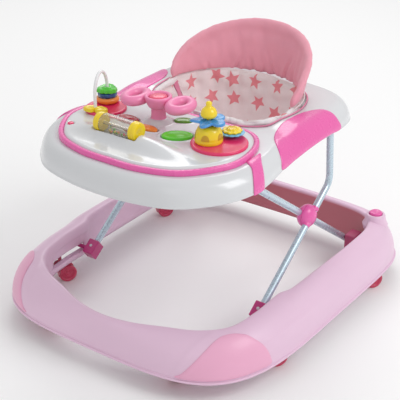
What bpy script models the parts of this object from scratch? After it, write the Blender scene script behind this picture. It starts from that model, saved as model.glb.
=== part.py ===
"""Baby walker: a rolling base, a scissor pair of bent steel legs and a seat body with a play tray.

Metres, +Z up, floor at z = 0, origin at the middle of the footprint. The play tray is at -Y, the backrest
at +Y, and the walker is symmetric about x = 0 apart from the toys. "Left" is -X and "right" is +X.
"""

import math

import bmesh
import bpy
import numpy as np

# ---- driving dimensions ----
HALF_WIDTH = 0.310  # base, at the lip
HALF_LENGTH = 0.351
GAP = 0.0003  # kept between neighbouring pieces
LIP_Z = 0.040  # underside of the base's lip
LIP_THICK = 0.004
WALL = 0.003  # moulded wall of the base
SHELL_WALL = 0.0025  # moulded wall of the seat body
AROUND = 44  # facets around the base and the seat body
PANEL_GAP = 0.0014  # under the thin panels, whose facets don't match the wall's behind them
BUMPER_GAP = 0.0025  # a bumper's clearance from the base's curved wall
BUMPER_PROUD = 0.0046  # how far a bumper's face stands out from that wall

WHEEL_R = 0.019
WHEEL_HALF_TRACK = 0.0125  # outer face of each of the twin wheels
TRAIL = 0.014  # axle behind the swivel axis

TUBE_R = 0.007
TUBE_WALL = 0.0012
LEG_A_X = 0.208
LEG_B_X = 0.192
HUB_X = 0.200
HUB_YZ = (0.0725, 0.202)
ARM = 0.221  # hub to either foot pivot
ARM_ANGLE = math.radians(36.0)
FOOT_A_YZ = (HUB_YZ[0] - ARM * math.cos(ARM_ANGLE), HUB_YZ[1] - ARM * math.sin(ARM_ANGLE))
FOOT_B_YZ = (HUB_YZ[0] + ARM * math.cos(ARM_ANGLE), HUB_YZ[1] - ARM * math.sin(ARM_ANGLE))
BEND_RUN = 0.0865  # hub to the bend in leg A
BEND_YZ = (HUB_YZ[0] + BEND_RUN * math.cos(ARM_ANGLE), HUB_YZ[1] + BEND_RUN * math.sin(ARM_ANGLE))
TOP_PIVOT_YZ = (0.1325, 0.372)
CROSSBAR_Z = 0.362
PIN_R = 0.003
PIN_INNER_X = 0.1835
HUB_PIN_OUTER_X = 0.2165
FOOT_PIN_OUTER_X = 0.202

TRAY_SEAT_Z = 0.3970  # top plate of the seat body under the play tray
ARM_TOP_Z = 0.4030  # top plate at the sides and the rear
TRAY_TOP_Z = 0.4090
DECK_TOP_Z = 0.4145
SEAT_CENTRE = (0.0, 0.08)  # the seat body's outlines are polar about this point

PINK = (0.80, 0.52, 0.66)
ROSE = (0.86, 0.36, 0.55)
MAGENTA = (0.86, 0.09, 0.42)
CRIMSON = (0.62, 0.05, 0.12)
BERRY = (0.42, 0.03, 0.14)
WHITE = (0.86, 0.86, 0.87)
STEEL = (0.55, 0.66, 0.74)
YELLOW = (0.92, 0.64, 0.02)
BLUE = (0.07, 0.30, 0.70)
GREEN = (0.10, 0.60, 0.05)
ORANGE = (0.90, 0.25, 0.03)
RED = (0.75, 0.04, 0.10)
SALMON = (0.90, 0.42, 0.50)


def clear_scene():
    for obj in list(bpy.data.objects):
        bpy.data.objects.remove(obj, do_unlink=True)


def material(name, colour, roughness=0.35, metallic=0.0):
    made = bpy.data.materials.get(name)
    if made is None:
        made = bpy.data.materials.new(name)
        made.use_nodes = True
        shader = made.node_tree.nodes["Principled BSDF"]
        shader.inputs["Base Color"].default_value = (*colour, 1.0)
        shader.inputs["Roughness"].default_value = roughness
        shader.inputs["Metallic"].default_value = metallic
    return made


def add_object(name, data, look, at=(0, 0, 0), turn=(0, 0, 0)):
    made = bpy.data.objects.new(name, data)
    bpy.context.scene.collection.objects.link(made)
    made.location = at
    made.rotation_euler = turn
    if look is not None:
        data.materials.append(look)
    return made


def mesh_of(name, points, faces):
    mesh = bpy.data.meshes.new(name)
    mesh.from_pydata([tuple(map(float, p)) for p in points], [], faces)
    bm = bmesh.new()
    bm.from_mesh(mesh)
    bmesh.ops.recalc_face_normals(bm, faces=bm.faces)
    bm.to_mesh(mesh)
    bm.free()
    mesh.shade_smooth()
    mesh.set_sharp_from_angle(angle=math.radians(35))
    return mesh


def skin(rings, around=True, along=False, caps=False):
    """Points and faces over rings, an array of K rings of N points. `around` closes each ring, `along`
    joins the last ring to the first, and `caps` fills the first and last ring with one face each."""
    rings = np.asarray(rings, float)
    count, size = rings.shape[:2]
    faces = []
    for k in range(count if along else count - 1):
        below, above = k * size, (k + 1) % count * size
        for i in range(size if around else size - 1):
            j = (i + 1) % size
            faces.append((below + i, below + j, above + j, above + i))
    if caps:
        faces.append(tuple(range(size)))
        faces.append(tuple(range((count - 1) * size, count * size)))
    return rings.reshape(-1, 3), faces


def loft(name, rings, look, **closing):
    return add_object(name, mesh_of(name, *skin(rings, **closing)), look)


def cutter(made):
    made.hide_render = True
    made.display_type = "WIRE"
    return made


def combine(target, other, operation):
    """A Boolean of `other` on `target`. `other` becomes a helper."""
    cutter(other)
    step = target.modifiers.new(operation.title() + " " + other.name, "BOOLEAN")
    step.operation = operation
    step.solver = "EXACT"
    step.object = other
    return target


def bevel(made, width, segments=2):
    step = made.modifiers.new("Rounded edges", "BEVEL")
    step.width = width
    step.segments = segments
    step.limit_method = "ANGLE"
    step.angle_limit = math.radians(40)
    return made


def cylinder(name, radius, low, high, look=None, top_radius=None, sides=14, at=(0, 0), axis="Z"):
    """A round bar from `low` to `high` along the axis. `at` is its place across the axis."""
    mesh = bpy.data.meshes.new(name)
    bm = bmesh.new()
    bmesh.ops.create_cone(
        bm,
        cap_ends=True,
        segments=sides,
        radius1=radius,
        radius2=radius if top_radius is None else top_radius,
        depth=high - low,
    )
    bm.to_mesh(mesh)
    bm.free()
    mesh.shade_smooth()
    mesh.set_sharp_from_angle(angle=math.radians(35))
    middle = (low + high) / 2
    if axis == "Z":
        return add_object(name, mesh, look, at=(at[0], at[1], middle))
    return add_object(name, mesh, look, at=(middle, at[0], at[1]), turn=(0, math.radians(90), 0))


def box(name, low, high, look=None):
    mesh = bpy.data.meshes.new(name)
    bm = bmesh.new()
    size = [b - a for a, b in zip(low, high)]
    bmesh.ops.create_cube(bm, size=1.0)
    bmesh.ops.scale(bm, vec=size, verts=bm.verts)
    bm.to_mesh(mesh)
    bm.free()
    return add_object(name, mesh, look, at=[(a + b) / 2 for a, b in zip(low, high)])


def turned(name, profile, look, at=(0, 0, 0), steps=14):
    """A solid turned about Z: profile holds (radius, z) from the top down its outer side, and it starts
    and ends on the axis."""
    mesh = bpy.data.meshes.new(name)
    mesh.from_pydata([(r, 0, z) for r, z in profile], [(i, i + 1) for i in range(len(profile) - 1)], [])
    made = add_object(name, mesh, look, at=at)
    lathe = made.modifiers.new("Turned", "SCREW")
    lathe.steps = lathe.render_steps = steps
    lathe.use_merge_vertices = True
    lathe.merge_threshold = 0.00001
    lathe.use_smooth_shade = True
    return made


def hollow_turned(name, profile, look, at=(0, 0, 0), steps=14):
    """As turned, for a closed profile that stays off the axis, such as a ring's section."""
    angles = np.linspace(0, 2 * math.pi, steps, endpoint=False)
    profile = np.asarray(profile, float)
    rings = np.stack(
        [np.column_stack([r * np.cos(angles), r * np.sin(angles), np.full(steps, z)]) for r, z in profile]
    )
    made = loft(name, rings, look, along=True)
    made.location = at
    return made


def smooth_loop(points, fineness=16):
    """A closed Catmull-Rom curve through the points of one half, mirrored in x = 0."""
    half = np.asarray(points, float)
    loop = np.vstack([half, (half[1:-1] * (-1, 1))[::-1]])
    a, b, c, d = (np.roll(loop, k, axis=0)[:, None] for k in (1, 0, -1, -2))
    t = np.linspace(0, 1, fineness, endpoint=False)[None, :, None]
    curve = b + 0.5 * t * (c - a + t * (2 * a - 5 * b + 4 * c - d + t * (3 * (b - c) + d - a)))
    return curve.reshape(-1, 2)


def radius_about(centre, loop):
    """The loop as a function that gives its distance from the centre at an angle."""
    away = loop - np.asarray(centre)
    angle = np.arctan2(away[:, 1], away[:, 0])
    order = np.argsort(angle)
    return lambda at: np.interp(at, angle[order], np.hypot(*away[order].T), period=2 * math.pi)


def superellipse(half_x, half_y, front_power, rear_power):
    """Distance from the origin at an angle. The powers set how square the front and rear corners are."""

    def radius(at):
        power = np.where(np.sin(at) < 0, front_power, rear_power)
        return (np.abs(np.cos(at) / half_x) ** power + np.abs(np.sin(at) / half_y) ** power) ** (-1 / power)

    return radius


def height_about(side, front, rear, sharpness=2.0):
    """A height that goes from `side` to `front` at -Y and to `rear` at +Y."""

    def height(at):
        lean = np.sin(at)
        return (
            side
            + (front - side) * np.clip(-lean, 0, 1) ** sharpness
            + (rear - side) * np.clip(lean, 0, 1) ** sharpness
        )

    return height


def ring_at(angles, radius, height, centre=(0, 0)):
    z = np.broadcast_to(height, angles.shape)
    return np.column_stack([centre[0] + radius * np.cos(angles), centre[1] + radius * np.sin(angles), z])


# ---- base ----
ANGLES = np.linspace(-math.pi, math.pi, AROUND, endpoint=False) + math.pi / AROUND
lip_radius = superellipse(HALF_WIDTH, HALF_LENGTH, 3.9, 7.0)
inner_radius = radius_about(
    (0, 0),
    smooth_loop(
        [
            (0, -0.316),
            (0.060, -0.308),
            (0.117, -0.288),
            (0.180, -0.264),
            (0.222, -0.224),
            (0.234, -0.160),
            (0.236, -0.090),
            (0.247, -0.055),
            (0.250, 0.060),
            (0.251, 0.170),
            (0.245, 0.240),
            (0.218, 0.284),
            (0.150, 0.300),
            (0, 0.304),
        ]
    ),
)
crest_height = height_about(0.123, 0.106, 0.121)
FOOT_OF_FACE_Z = LIP_Z + LIP_THICK + 0.002
INNER_BOTTOM_Z = 0.050


def outer_face(angles, climb):
    """The base's outer face: `climb` goes from 0 at the lip to 1 at the crest, along a quarter ellipse."""
    foot = lip_radius(angles) - 0.004
    crest = inner_radius(angles) + 0.010
    turn = climb * math.pi / 2
    radius = foot - (foot - crest) * (1 - np.cos(turn))
    return radius, FOOT_OF_FACE_Z + (crest_height(angles) - FOOT_OF_FACE_Z) * np.sin(turn)


def base_rings(inset, bottom):
    """Rings of the base's section, from the lip up over the crest and down the inner wall."""
    rings = []
    for climb in (0.0, 0.3, 0.6, 0.82, 1.0):
        radius, z = outer_face(ANGLES, climb)
        lean = math.radians(90 * climb)
        rings.append(ring_at(ANGLES, radius - inset * math.cos(lean), z - inset * math.sin(lean)))
    inner = inner_radius(ANGLES) + inset
    rings.append(ring_at(ANGLES, inner + 0.003, crest_height(ANGLES) - 0.004 - inset))
    rings.append(ring_at(ANGLES, inner, crest_height(ANGLES) - 0.012 - inset))
    rings.append(ring_at(ANGLES, inner, bottom))
    return rings


CASTERS = {  # swivel axis x, y and the heading of the trail in degrees
    "front_left": (-0.150, -0.300, 90),
    "front_right": (0.150, -0.300, 90),
    "middle_left": (-0.262, -0.150, 60),
    "middle_right": (0.262, -0.150, 60),
    "rear_left": (-0.274, 0.205, 60),
    "rear_right": (0.274, 0.205, 60),
}
STEM_R = 0.004
SOCKET_Z = 0.050
BOSS_AT = (0.246, 0.284)
BOSS_TOP_Z = 0.132
BUTTON_R = 0.0135
SLOT = {"y": (-0.200, -0.098), "z": (FOOT_A_YZ[1] - 0.0055, FOOT_A_YZ[1] + 0.0055)}


def make_base():
    pink = material("base plastic", PINK)
    lip = lip_radius(ANGLES)
    rings = [ring_at(ANGLES, lip, LIP_Z), ring_at(ANGLES, lip, LIP_Z + LIP_THICK)]
    rings += base_rings(0, INNER_BOTTOM_Z)
    base = loft("base_shell", rings, pink, along=True)
    hollow = base_rings(WALL, LIP_Z - 0.02)
    hollow.insert(0, ring_at(ANGLES, lip - 0.004 - WALL, LIP_Z - 0.02))
    cavity = loft("base_cavity", hollow, None, along=True)
    for name, (x, y, _) in CASTERS.items():
        combine(cavity, cylinder("socket_" + name, 0.0085, SOCKET_Z, 0.2, sides=10, at=(x, y)), "DIFFERENCE")
    combine(base, cavity, "DIFFERENCE")
    for name, (x, y, _) in CASTERS.items():
        bore = cylinder("bore_" + name, STEM_R + 0.0004, LIP_Z, 0.070, sides=10, at=(x, y))
        combine(base, bore, "DIFFERENCE")
    for side in (-1, 1):
        at = (side * BOSS_AT[0], BOSS_AT[1])
        tag = "left" if side < 0 else "right"
        combine(base, cylinder("boss_" + tag, 0.0245, 0.100, BOSS_TOP_Z, top_radius=0.0205, at=at), "UNION")
        combine(base, cylinder("well_" + tag, BUTTON_R + 0.0005, 0.112, 0.2, at=at), "DIFFERENCE")
        low = (min(side * 0.215, side * 0.2475), SLOT["y"][0], SLOT["z"][0])
        high = (max(side * 0.215, side * 0.2475), SLOT["y"][1], SLOT["z"][1])
        combine(base, box("slot_" + tag, low, high), "DIFFERENCE")
        cap = turned(
            "lock_button_" + tag,
            [(0, 0.0205), (0.009, 0.0200), (BUTTON_R, 0.0170), (BUTTON_R, 0), (0, 0)],
            material("magenta plastic", MAGENTA),
            at=(*at, 0.1170),
            steps=20,
        )
        cap.data.name = "lock_button"


def make_corner_bumpers():
    """Each bumper follows the base's outer face at a front corner, under an arched top edge."""
    rose = material("bumper plastic", ROSE)
    start, end, across, up = math.radians(-61.5), math.radians(-31), 11, 5
    share = np.linspace(-0.985, 0.985, across)
    angles = (start + end) / 2 + share * (end - start) / 2
    tops = 0.04 + 0.80 * (1 - np.abs(share) ** 2.2) ** 0.6
    for tag, side in (("right", 1), ("left", -1)):
        skins = []
        for proud in (BUMPER_GAP, BUMPER_PROUD):
            rows = []
            for step in np.linspace(0, 1, up):
                climb = 0.03 + tops * step
                radius, z = outer_face(angles, climb)
                lean = climb * math.pi / 2
                row = ring_at(angles, radius + proud * np.cos(lean), z + proud * np.sin(lean))
                rows.append(row * (side, 1, 1))
            skins.append(np.stack(rows))
        under, over = skins
        edge = np.concatenate([over, under[::-1]])
        points, faces = skin(edge, around=False, along=True)
        last = len(edge)
        for column in (0, across - 1):
            for i in range(up - 1):
                faces.append(tuple(k * across + column for k in (i, i + 1, last - 2 - i, last - 1 - i)))
        name = "corner_bumper_" + tag
        add_object(name, mesh_of(name, points, faces), rose)


def make_casters():
    crimson = material("caster plastic", CRIMSON)
    axle_z = WHEEL_R
    for name, (x, y, heading) in CASTERS.items():
        turn = math.radians(heading)
        swivel = bpy.data.objects.new("swivel_" + name, None)
        bpy.context.scene.collection.objects.link(swivel)
        swivel.location = (x, y, 0)
        swivel.rotation_euler = (0, 0, turn)
        stem = cylinder("caster_fork_" + name, STEM_R, axle_z, 0.068, crimson, sides=10)
        stem.name = "caster_fork_" + name
        combine(stem, cylinder("collar_" + name, 0.0125, 0.0395, 0.0440, sides=12), "UNION")
        combine(stem, box("arm_" + name, (-0.005, -0.0045, 0.012), (TRAIL + 0.008, 0.0045, 0.0415)), "UNION")
        axle_hole = cylinder("axle_hole_" + name, 0.0031, -0.02, 0.02, sides=10)
        axle_hole.location = (TRAIL, 0, axle_z)
        axle_hole.rotation_euler = (math.radians(90), 0, 0)
        combine(stem, axle_hole, "DIFFERENCE")
        for piece in [stem] + [s.object for s in stem.modifiers]:
            piece.parent = swivel
        track, half = WHEEL_HALF_TRACK, 0.0053
        rim = WHEEL_R
        wheels = turned(
            "caster_wheel_" + name,
            [
                (0, track),
                (rim - 0.003, track),
                (rim, track - 0.0025),
                (rim, half),
                (0.0028, half),
                (0.0028, -half),
                (rim, -half),
                (rim, 0.0025 - track),
                (rim - 0.003, -track),
                (0, -track),
            ],
            crimson,
            at=(TRAIL, 0, axle_z),
            steps=14,
        )
        wheels.rotation_euler = (math.radians(90), 0, 0)
        wheels.parent = swivel


def rounded_path(corners, radius, steps=4):
    """The corners joined by straight runs, with an arc-like bend of the given radius at each inner one."""
    corners = [np.asarray(c, float) for c in corners]
    path = [corners[0]]
    for before, corner, after in zip(corners, corners[1:], corners[2:]):
        into, out = before - corner, after - corner
        into, out = into / np.linalg.norm(into), out / np.linalg.norm(out)
        half_angle = math.acos(np.clip(into @ out, -1, 1)) / 2
        reach = radius / math.tan(half_angle)
        for t in np.linspace(0, 1, steps):
            start, end = corner + into * reach, corner + out * reach
            path.append((1 - t) ** 2 * start + 2 * t * (1 - t) * corner + t**2 * end)
    path.append(corners[-1])
    return path


def tube(name, path, look):
    """A steel tube: the mesh of a bevelled curve with open ends, given a wall inwards."""
    curve = bpy.data.curves.new(name, "CURVE")
    curve.dimensions = "3D"
    curve.bevel_depth = TUBE_R
    curve.bevel_resolution = 2
    line = curve.splines.new("POLY")
    line.points.add(len(path) - 1)
    for point, at in zip(line.points, path):
        point.co = (*at, 1)
    guide = add_object(name + "_line", curve, None)
    made = add_object(name, bpy.data.meshes.new_from_object(guide), look)
    bpy.data.objects.remove(guide)
    wall = made.modifiers.new("Wall", "SOLIDIFY")
    wall.thickness = TUBE_WALL
    wall.offset = -1
    return made


def make_legs():
    steel = material("leg tube", STEEL, 0.3, 0.6)
    magenta = material("magenta plastic", MAGENTA)
    berry = material("berry plastic", BERRY)
    along_a = np.array([0, math.cos(ARM_ANGLE), math.sin(ARM_ANGLE)])
    foot = np.array([0, *FOOT_A_YZ])
    hub = np.array([0, *HUB_YZ])
    over_pivot = TOP_PIVOT_YZ[1] + 0.010
    lean = (TOP_PIVOT_YZ[0] - BEND_YZ[0]) / (TOP_PIVOT_YZ[1] - BEND_YZ[1])
    top = np.array([0, TOP_PIVOT_YZ[0] + 0.010 * lean, over_pivot])
    for tag, side in (("left", -1), ("right", 1)):
        shift = np.array([side * LEG_A_X, 0, 0])
        path = rounded_path([foot - 0.010 * along_a + shift, np.array([0, *BEND_YZ]) + shift, top + shift], 0.03)
        leg = tube("leg_a_tube_" + tag, path, steel)
        low, high = sorted((side * 0.19, side * 0.23))
        for where, (y, z) in (("hub", HUB_YZ), ("top", TOP_PIVOT_YZ)):
            hole = cylinder(f"hole_{where}_a_{tag}", PIN_R + 0.0002, low, high, sides=10, at=(y, z), axis="X")
            combine(leg, hole, "DIFFERENCE")
        make_foot_block(tag, side, along_a, foot, berry)
    run = (CROSSBAR_Z - HUB_YZ[1]) / math.sin(ARM_ANGLE)
    corner = hub + np.array([0, -run * math.cos(ARM_ANGLE), run * math.sin(ARM_ANGLE)])
    tail = np.array([0, *FOOT_B_YZ]) + 0.012 * np.array([0, math.cos(ARM_ANGLE), -math.sin(ARM_ANGLE)])
    route = [p + np.array([s * LEG_B_X, 0, 0]) for p, s in ((tail, -1), (corner, -1), (corner, 1), (tail, 1))]
    yoke = tube("leg_b_tube", rounded_path(route, 0.03), steel)
    for tag, side in (("left", -1), ("right", 1)):
        low, high = sorted((side * 0.18, side * 0.205))
        for where, (y, z) in (("hub", HUB_YZ), ("foot", FOOT_B_YZ)):
            hole = cylinder(f"hole_{where}_b_{tag}", PIN_R + 0.0002, low, high, sides=10, at=(y, z), axis="X")
            combine(yoke, hole, "DIFFERENCE")
        make_hub_covers(tag, side, magenta)
        ends = sorted((side * PIN_INNER_X, side * HUB_PIN_OUTER_X))
        pin = cylinder("hub_pin_" + tag, PIN_R, *ends, steel, at=HUB_YZ, axis="X", sides=10)
        pin.data.name = "hub_pin"
        make_rear_bracket(tag, side, berry)


def make_foot_block(tag, side, along, foot, look):
    """The sleeve on leg A's lower end, with the pin that slides in the base's slot."""
    block = box("foot_block_" + tag, (-0.0125, -0.014, -0.0125), (0.0125, 0.019, 0.0125), look)
    block.data.transform(block.matrix_basis)
    block.location = (side * LEG_A_X, foot[1], foot[2])
    block.rotation_euler = (ARM_ANGLE, 0, 0)
    bevel(block, 0.002)
    socket = cylinder("socket_block_" + tag, TUBE_R + GAP, -0.0105, 0.03, sides=14)
    socket.rotation_euler = (math.radians(-90), 0, 0)
    socket.location = (0, 0.00975, 0)
    socket.parent = block
    low, high = sorted((side * 0.011, side * 0.0385))
    pin = cylinder("slider_" + tag, 0.0045, low, high, sides=10, at=(0, 0), axis="X")
    pin.parent = block
    combine(block, pin, "UNION")
    combine(block, socket, "DIFFERENCE")


def make_hub_covers(tag, side, look):
    """Two half balls over the crossing: the inner one clips on leg B, the outer one on leg A."""
    for part, outward in (("inner", -1), ("outer", 1)):
        name = f"hub_cover_{part}_{tag}"
        mesh = bpy.data.meshes.new(name)
        bm = bmesh.new()
        bmesh.ops.create_uvsphere(bm, u_segments=12, v_segments=6, radius=0.0235)
        bmesh.ops.scale(bm, vec=(0.76, 1, 1), verts=bm.verts)
        bmesh.ops.bisect_plane(
            bm,
            geom=bm.verts[:] + bm.edges[:] + bm.faces[:],
            plane_co=(side * outward * 0.0002, 0, 0),
            plane_no=(-side * outward, 0, 0),
            clear_outer=True,
        )
        bmesh.ops.holes_fill(bm, edges=[e for e in bm.edges if e.is_boundary])
        bmesh.ops.recalc_face_normals(bm, faces=bm.faces)
        bm.to_mesh(mesh)
        bm.free()
        mesh.shade_smooth()
        mesh.set_sharp_from_angle(angle=math.radians(35))
        cover = add_object(name, mesh, look, at=(side * HUB_X, *HUB_YZ))
        on_tube = side * ((LEG_A_X if outward > 0 else LEG_B_X) - HUB_X)
        channel = cylinder("channel_" + name, TUBE_R + GAP, -0.04, 0.04, sides=14)
        pitch = ARM_ANGLE if outward > 0 else -ARM_ANGLE
        channel.rotation_euler = (math.radians(90) + pitch, 0, 0)
        channel.location = (on_tube, 0, 0)
        channel.parent = cover
        combine(cover, channel, "DIFFERENCE")
        bore = cylinder("bore_" + name, PIN_R + GAP, -0.017, 0.017, sides=10, axis="X")
        bore.parent = cover
        combine(cover, bore, "DIFFERENCE")


def make_rear_bracket(tag, side, look):
    """The crimson bracket in a rear corner of the base, whose pin carries leg B."""
    y, z = FOOT_B_YZ
    low, high = sorted((side * 0.2005, side * 0.2265))
    name = "rear_foot_bracket_" + tag
    bracket = box(name, (low, y - 0.016, z - 0.020), (high, y + 0.018, z + 0.016), look)
    bevel(bracket, 0.003)
    ends = sorted((side * PIN_INNER_X, side * FOOT_PIN_OUTER_X))
    pin = cylinder("foot_pin_" + tag, PIN_R, *ends, at=(y, z), axis="X", sides=10)
    combine(bracket, pin, "UNION")


# ---- seat body ----
rim_radius = radius_about(
    SEAT_CENTRE,
    smooth_loop(
        [
            (0, -0.318),
            (0.081, -0.311),
            (0.151, -0.289),
            (0.206, -0.235),
            (0.231, -0.180),
            (0.234, -0.130),
            (0.225, -0.060),
            (0.222, 0.020),
            (0.222, 0.100),
            (0.221, 0.165),
            (0.203, 0.218),
            (0.155, 0.250),
            (0.080, 0.262),
            (0, 0.264),
        ]
    ),
)
shoulder_radius = radius_about(
    SEAT_CENTRE,
    smooth_loop(
        [
            (0, -0.291),
            (0.070, -0.287),
            (0.138, -0.262),
            (0.184, -0.205),
            (0.202, -0.150),
            (0.200, -0.085),
            (0.187, -0.025),
            (0.184, 0.060),
            (0.186, 0.140),
            (0.178, 0.195),
            (0.148, 0.226),
            (0.080, 0.241),
            (0, 0.244),
        ]
    ),
)
hole_radius = radius_about(
    SEAT_CENTRE,
    smooth_loop(
        [
            (0, -0.026),
            (0.080, -0.020),
            (0.132, 0.010),
            (0.150, 0.065),
            (0.149, 0.125),
            (0.120, 0.182),
            (0.065, 0.210),
            (0, 0.216),
        ]
    ),
)
BAND_HALF = [
    (0, -0.289),
    (0.068, -0.285),
    (0.137, -0.258),
    (0.183, -0.200),
    (0.197, -0.150),
    (0.184, -0.085),
    (0.150, -0.045),
    (0.090, -0.034),
    (0, -0.034),
]
TRAY_CENTRE = (0, -0.150)
band_radius = radius_about(TRAY_CENTRE, smooth_loop(BAND_HALF))
rim_height = height_about(0.368, 0.350, 0.357, 1.5)


def plate_height(at):
    """The top plate: low under the play tray, and a step higher beside and behind the seat."""
    share = np.clip((-np.sin(at) - 0.20) / 0.25, 0, 1)
    return ARM_TOP_Z + (TRAY_SEAT_Z - ARM_TOP_Z) * share * share * (3 - 2 * share)


def side_wall(angles, climb):
    """The seat body's outer wall: `climb` goes from 0 at the rim to 1 at the shoulder."""
    low, high = rim_radius(angles), shoulder_radius(angles)
    turn = climb * math.pi / 2
    radius = low - (low - high) * (1 - np.cos(turn))
    return radius, rim_height(angles) + (plate_height(angles) - rim_height(angles)) * np.sin(turn)


def seat_body_rings(inset, bottom):
    rings = []
    for climb in (0.0, 0.35, 0.7, 1.0):
        radius, z = side_wall(ANGLES, climb)
        turn = climb * math.pi / 2
        z = np.where(climb == 0, z + bottom, z)
        rings.append(
            ring_at(ANGLES, radius - inset * math.cos(turn), z - inset * math.sin(turn), SEAT_CENTRE)
        )
    hole = hole_radius(ANGLES) + inset
    rings.append(ring_at(ANGLES, hole + 0.004, plate_height(ANGLES) - inset, SEAT_CENTRE))
    rings.append(ring_at(ANGLES, hole, plate_height(ANGLES) - 0.004 - inset, SEAT_CENTRE))
    rings.append(ring_at(ANGLES, hole, 0.372 + bottom, SEAT_CENTRE))
    return rings


def make_seat_body():
    white = material("white plastic", WHITE, 0.25)
    body = loft("seat_body", seat_body_rings(0, 0), white, along=True)
    combine(body, loft("seat_body_cavity", seat_body_rings(SHELL_WALL, -0.03), None, along=True), "DIFFERENCE")
    make_wall_pieces()


def patch(name, angles, low_climb, high_climb, inner, outer, look, rows=5):
    """A panel on the seat body's wall, from `inner` to `outer` off its surface. The climbs bound it, one
    value for each angle."""
    skins = []
    for proud in (inner, outer):
        grid = []
        for share in np.linspace(0, 1, rows):
            climb = low_climb + (high_climb - low_climb) * share
            radius, z = side_wall(angles, climb)
            turn = climb * math.pi / 2
            grid.append(ring_at(angles, radius + proud * np.cos(turn), z + proud * np.sin(turn), SEAT_CENTRE))
        skins.append(np.stack(grid))
    under, over = skins
    edge = np.concatenate([over, under[::-1]])
    points, faces = skin(edge, around=False, along=True)
    size, last = len(angles), len(edge)
    for column in (0, size - 1):
        for i in range(rows - 1):
            faces.append(tuple(k * size + column for k in (i, i + 1, last - 2 - i, last - 1 - i)))
    return add_object(name, mesh_of(name, points, faces), look)


def make_wall_pieces():
    """The armrest panels and the straps that clip the tray down, both on the outer wall."""
    magenta = material("magenta plastic", MAGENTA)
    for tag, side in (("left", -1), ("right", 1)):
        angles = ANGLES[(ANGLES > math.radians(-34)) & (ANGLES < math.radians(28))]
        if side < 0:
            angles = math.pi - angles
        low, high = np.full(len(angles), 0.02), np.full(len(angles), 0.95)
        patch("armrest_panel_" + tag, angles, low, high, PANEL_GAP, 0.0034, magenta)
        strap = math.radians(-46.5) + np.linspace(-1, 1, 4) * math.radians(1.9)
        if side < 0:
            strap = math.pi - strap
        patch("tray_clip_" + tag, strap, np.full(4, -0.02), np.full(4, 0.93), PANEL_GAP, 0.0040, magenta)


def tray_surface(x, y):
    """Height of the play tray's top: flat, with a ridge across the front that houses the roller."""
    ridge = np.exp(-(((y + 0.218) / 0.026) ** 2)) * np.exp(-(np.abs((x + 0.012) / 0.100) ** 3.5))
    return TRAY_TOP_Z + 0.017 * ridge


DRUM_AT = (-0.033, -0.212, 0.4315)
DRUM_R = 0.0185
DRUM_HALF = 0.034
CAP_HALF = 0.048


def make_tray():
    white = material("white plastic", WHITE, 0.25)
    angles = np.linspace(-math.pi, math.pi, 36, endpoint=False)
    edge = band_radius(angles)
    loops = [(edge, TRAY_SEAT_Z + 0.007), (edge, TRAY_SEAT_Z + GAP), (edge - 0.010, TRAY_SEAT_Z + GAP)]
    loops.append((edge - 0.010, TRAY_SEAT_Z + 0.007))
    rings = [ring_at(angles, r, z, TRAY_CENTRE) for r, z in loops]
    loft("tray_band", rings, material("magenta plastic", MAGENTA), along=True)
    edge = edge - 0.010 - GAP
    rings = [ring_at(angles, edge, TRAY_SEAT_Z + GAP, TRAY_CENTRE), ring_at(angles, edge, 0.4050, TRAY_CENTRE)]
    for share in (0.94, 0.76, 0.58, 0.38, 0.15):
        ring = ring_at(angles, edge * share, 0, TRAY_CENTRE)
        ring[:, 2] = tray_surface(ring[:, 0], ring[:, 1])
        rings.append(ring)
    tray = loft("play_tray", rings, white, caps=True)
    well = cylinder(
        "roller_well",
        DRUM_R + 0.0025,
        DRUM_AT[0] - CAP_HALF - 0.002,
        DRUM_AT[0] + CAP_HALF + 0.002,
        at=DRUM_AT[1:],
        axis="X",
    )
    combine(tray, well, "DIFFERENCE")
    make_roller()


def make_roller():
    low, high = DRUM_AT[0] - DRUM_HALF, DRUM_AT[0] + DRUM_HALF
    clear = material("clear plastic", (0.9, 0.9, 0.8), 0.1)
    cylinder("roller_drum", DRUM_R - 0.001, low, high, clear, at=DRUM_AT[1:], axis="X")
    yellow = material("yellow plastic", YELLOW)
    for tag, start, end in (("left", low - 0.0140, low - GAP), ("right", high + GAP, high + 0.0140)):
        cap = cylinder("roller_cap_" + tag, DRUM_R, start, end, yellow, at=DRUM_AT[1:], axis="X")
        bevel(cap, 0.002)


DECKS = {"left": (-0.143, -0.119, 0.0400), "right": (0.129, -0.129, 0.0520)}  # x, y, radius
BOW_AT = (-0.143, -0.149)
STACK_AT = (-0.156, -0.098)
ARCH_R = 0.0032
ARCH_TOP_Z = 0.484
COLUMN_AT = (-0.0245, -0.107)
WHEEL_Z = 0.449
WHEEL_TURN = math.radians(6.5)
HUB_LOW, HUB_TOP = -0.011, 0.0115  # the wheel's hub, from the middle of the grips
HORN_FLOOR = 0.0015  # floor of the horn's well
HORN_R = 0.0172
GRIP_R = 0.0085
GRIP_OUT = 0.0470  # middle of a grip from the wheel's axis
GRIP_HALF = (0.0165, 0.0235)  # half sizes of a grip's oval
MILL_AT = (0.113, -0.139)
FLOWER_AT = (0.133, -0.0945)
KEYS = {  # x, y, half length, half width, turn in degrees, colour
    "key_red": (-0.0765, -0.1310, 0.0225, 0.0100, 0, RED),
    "key_orange": (-0.0180, -0.1480, 0.0210, 0.0100, 0, ORANGE),
    "key_green": (0.0460, -0.1435, 0.0280, 0.0200, 33, GREEN),
    "key_olive": (0.0135, -0.0810, 0.0170, 0.0105, 33, (0.13, 0.30, 0.03)),
}
KEY_CLEAR = 0.0006  # the fit of a key in its well
KEY_TRAVEL = 0.002


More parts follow.
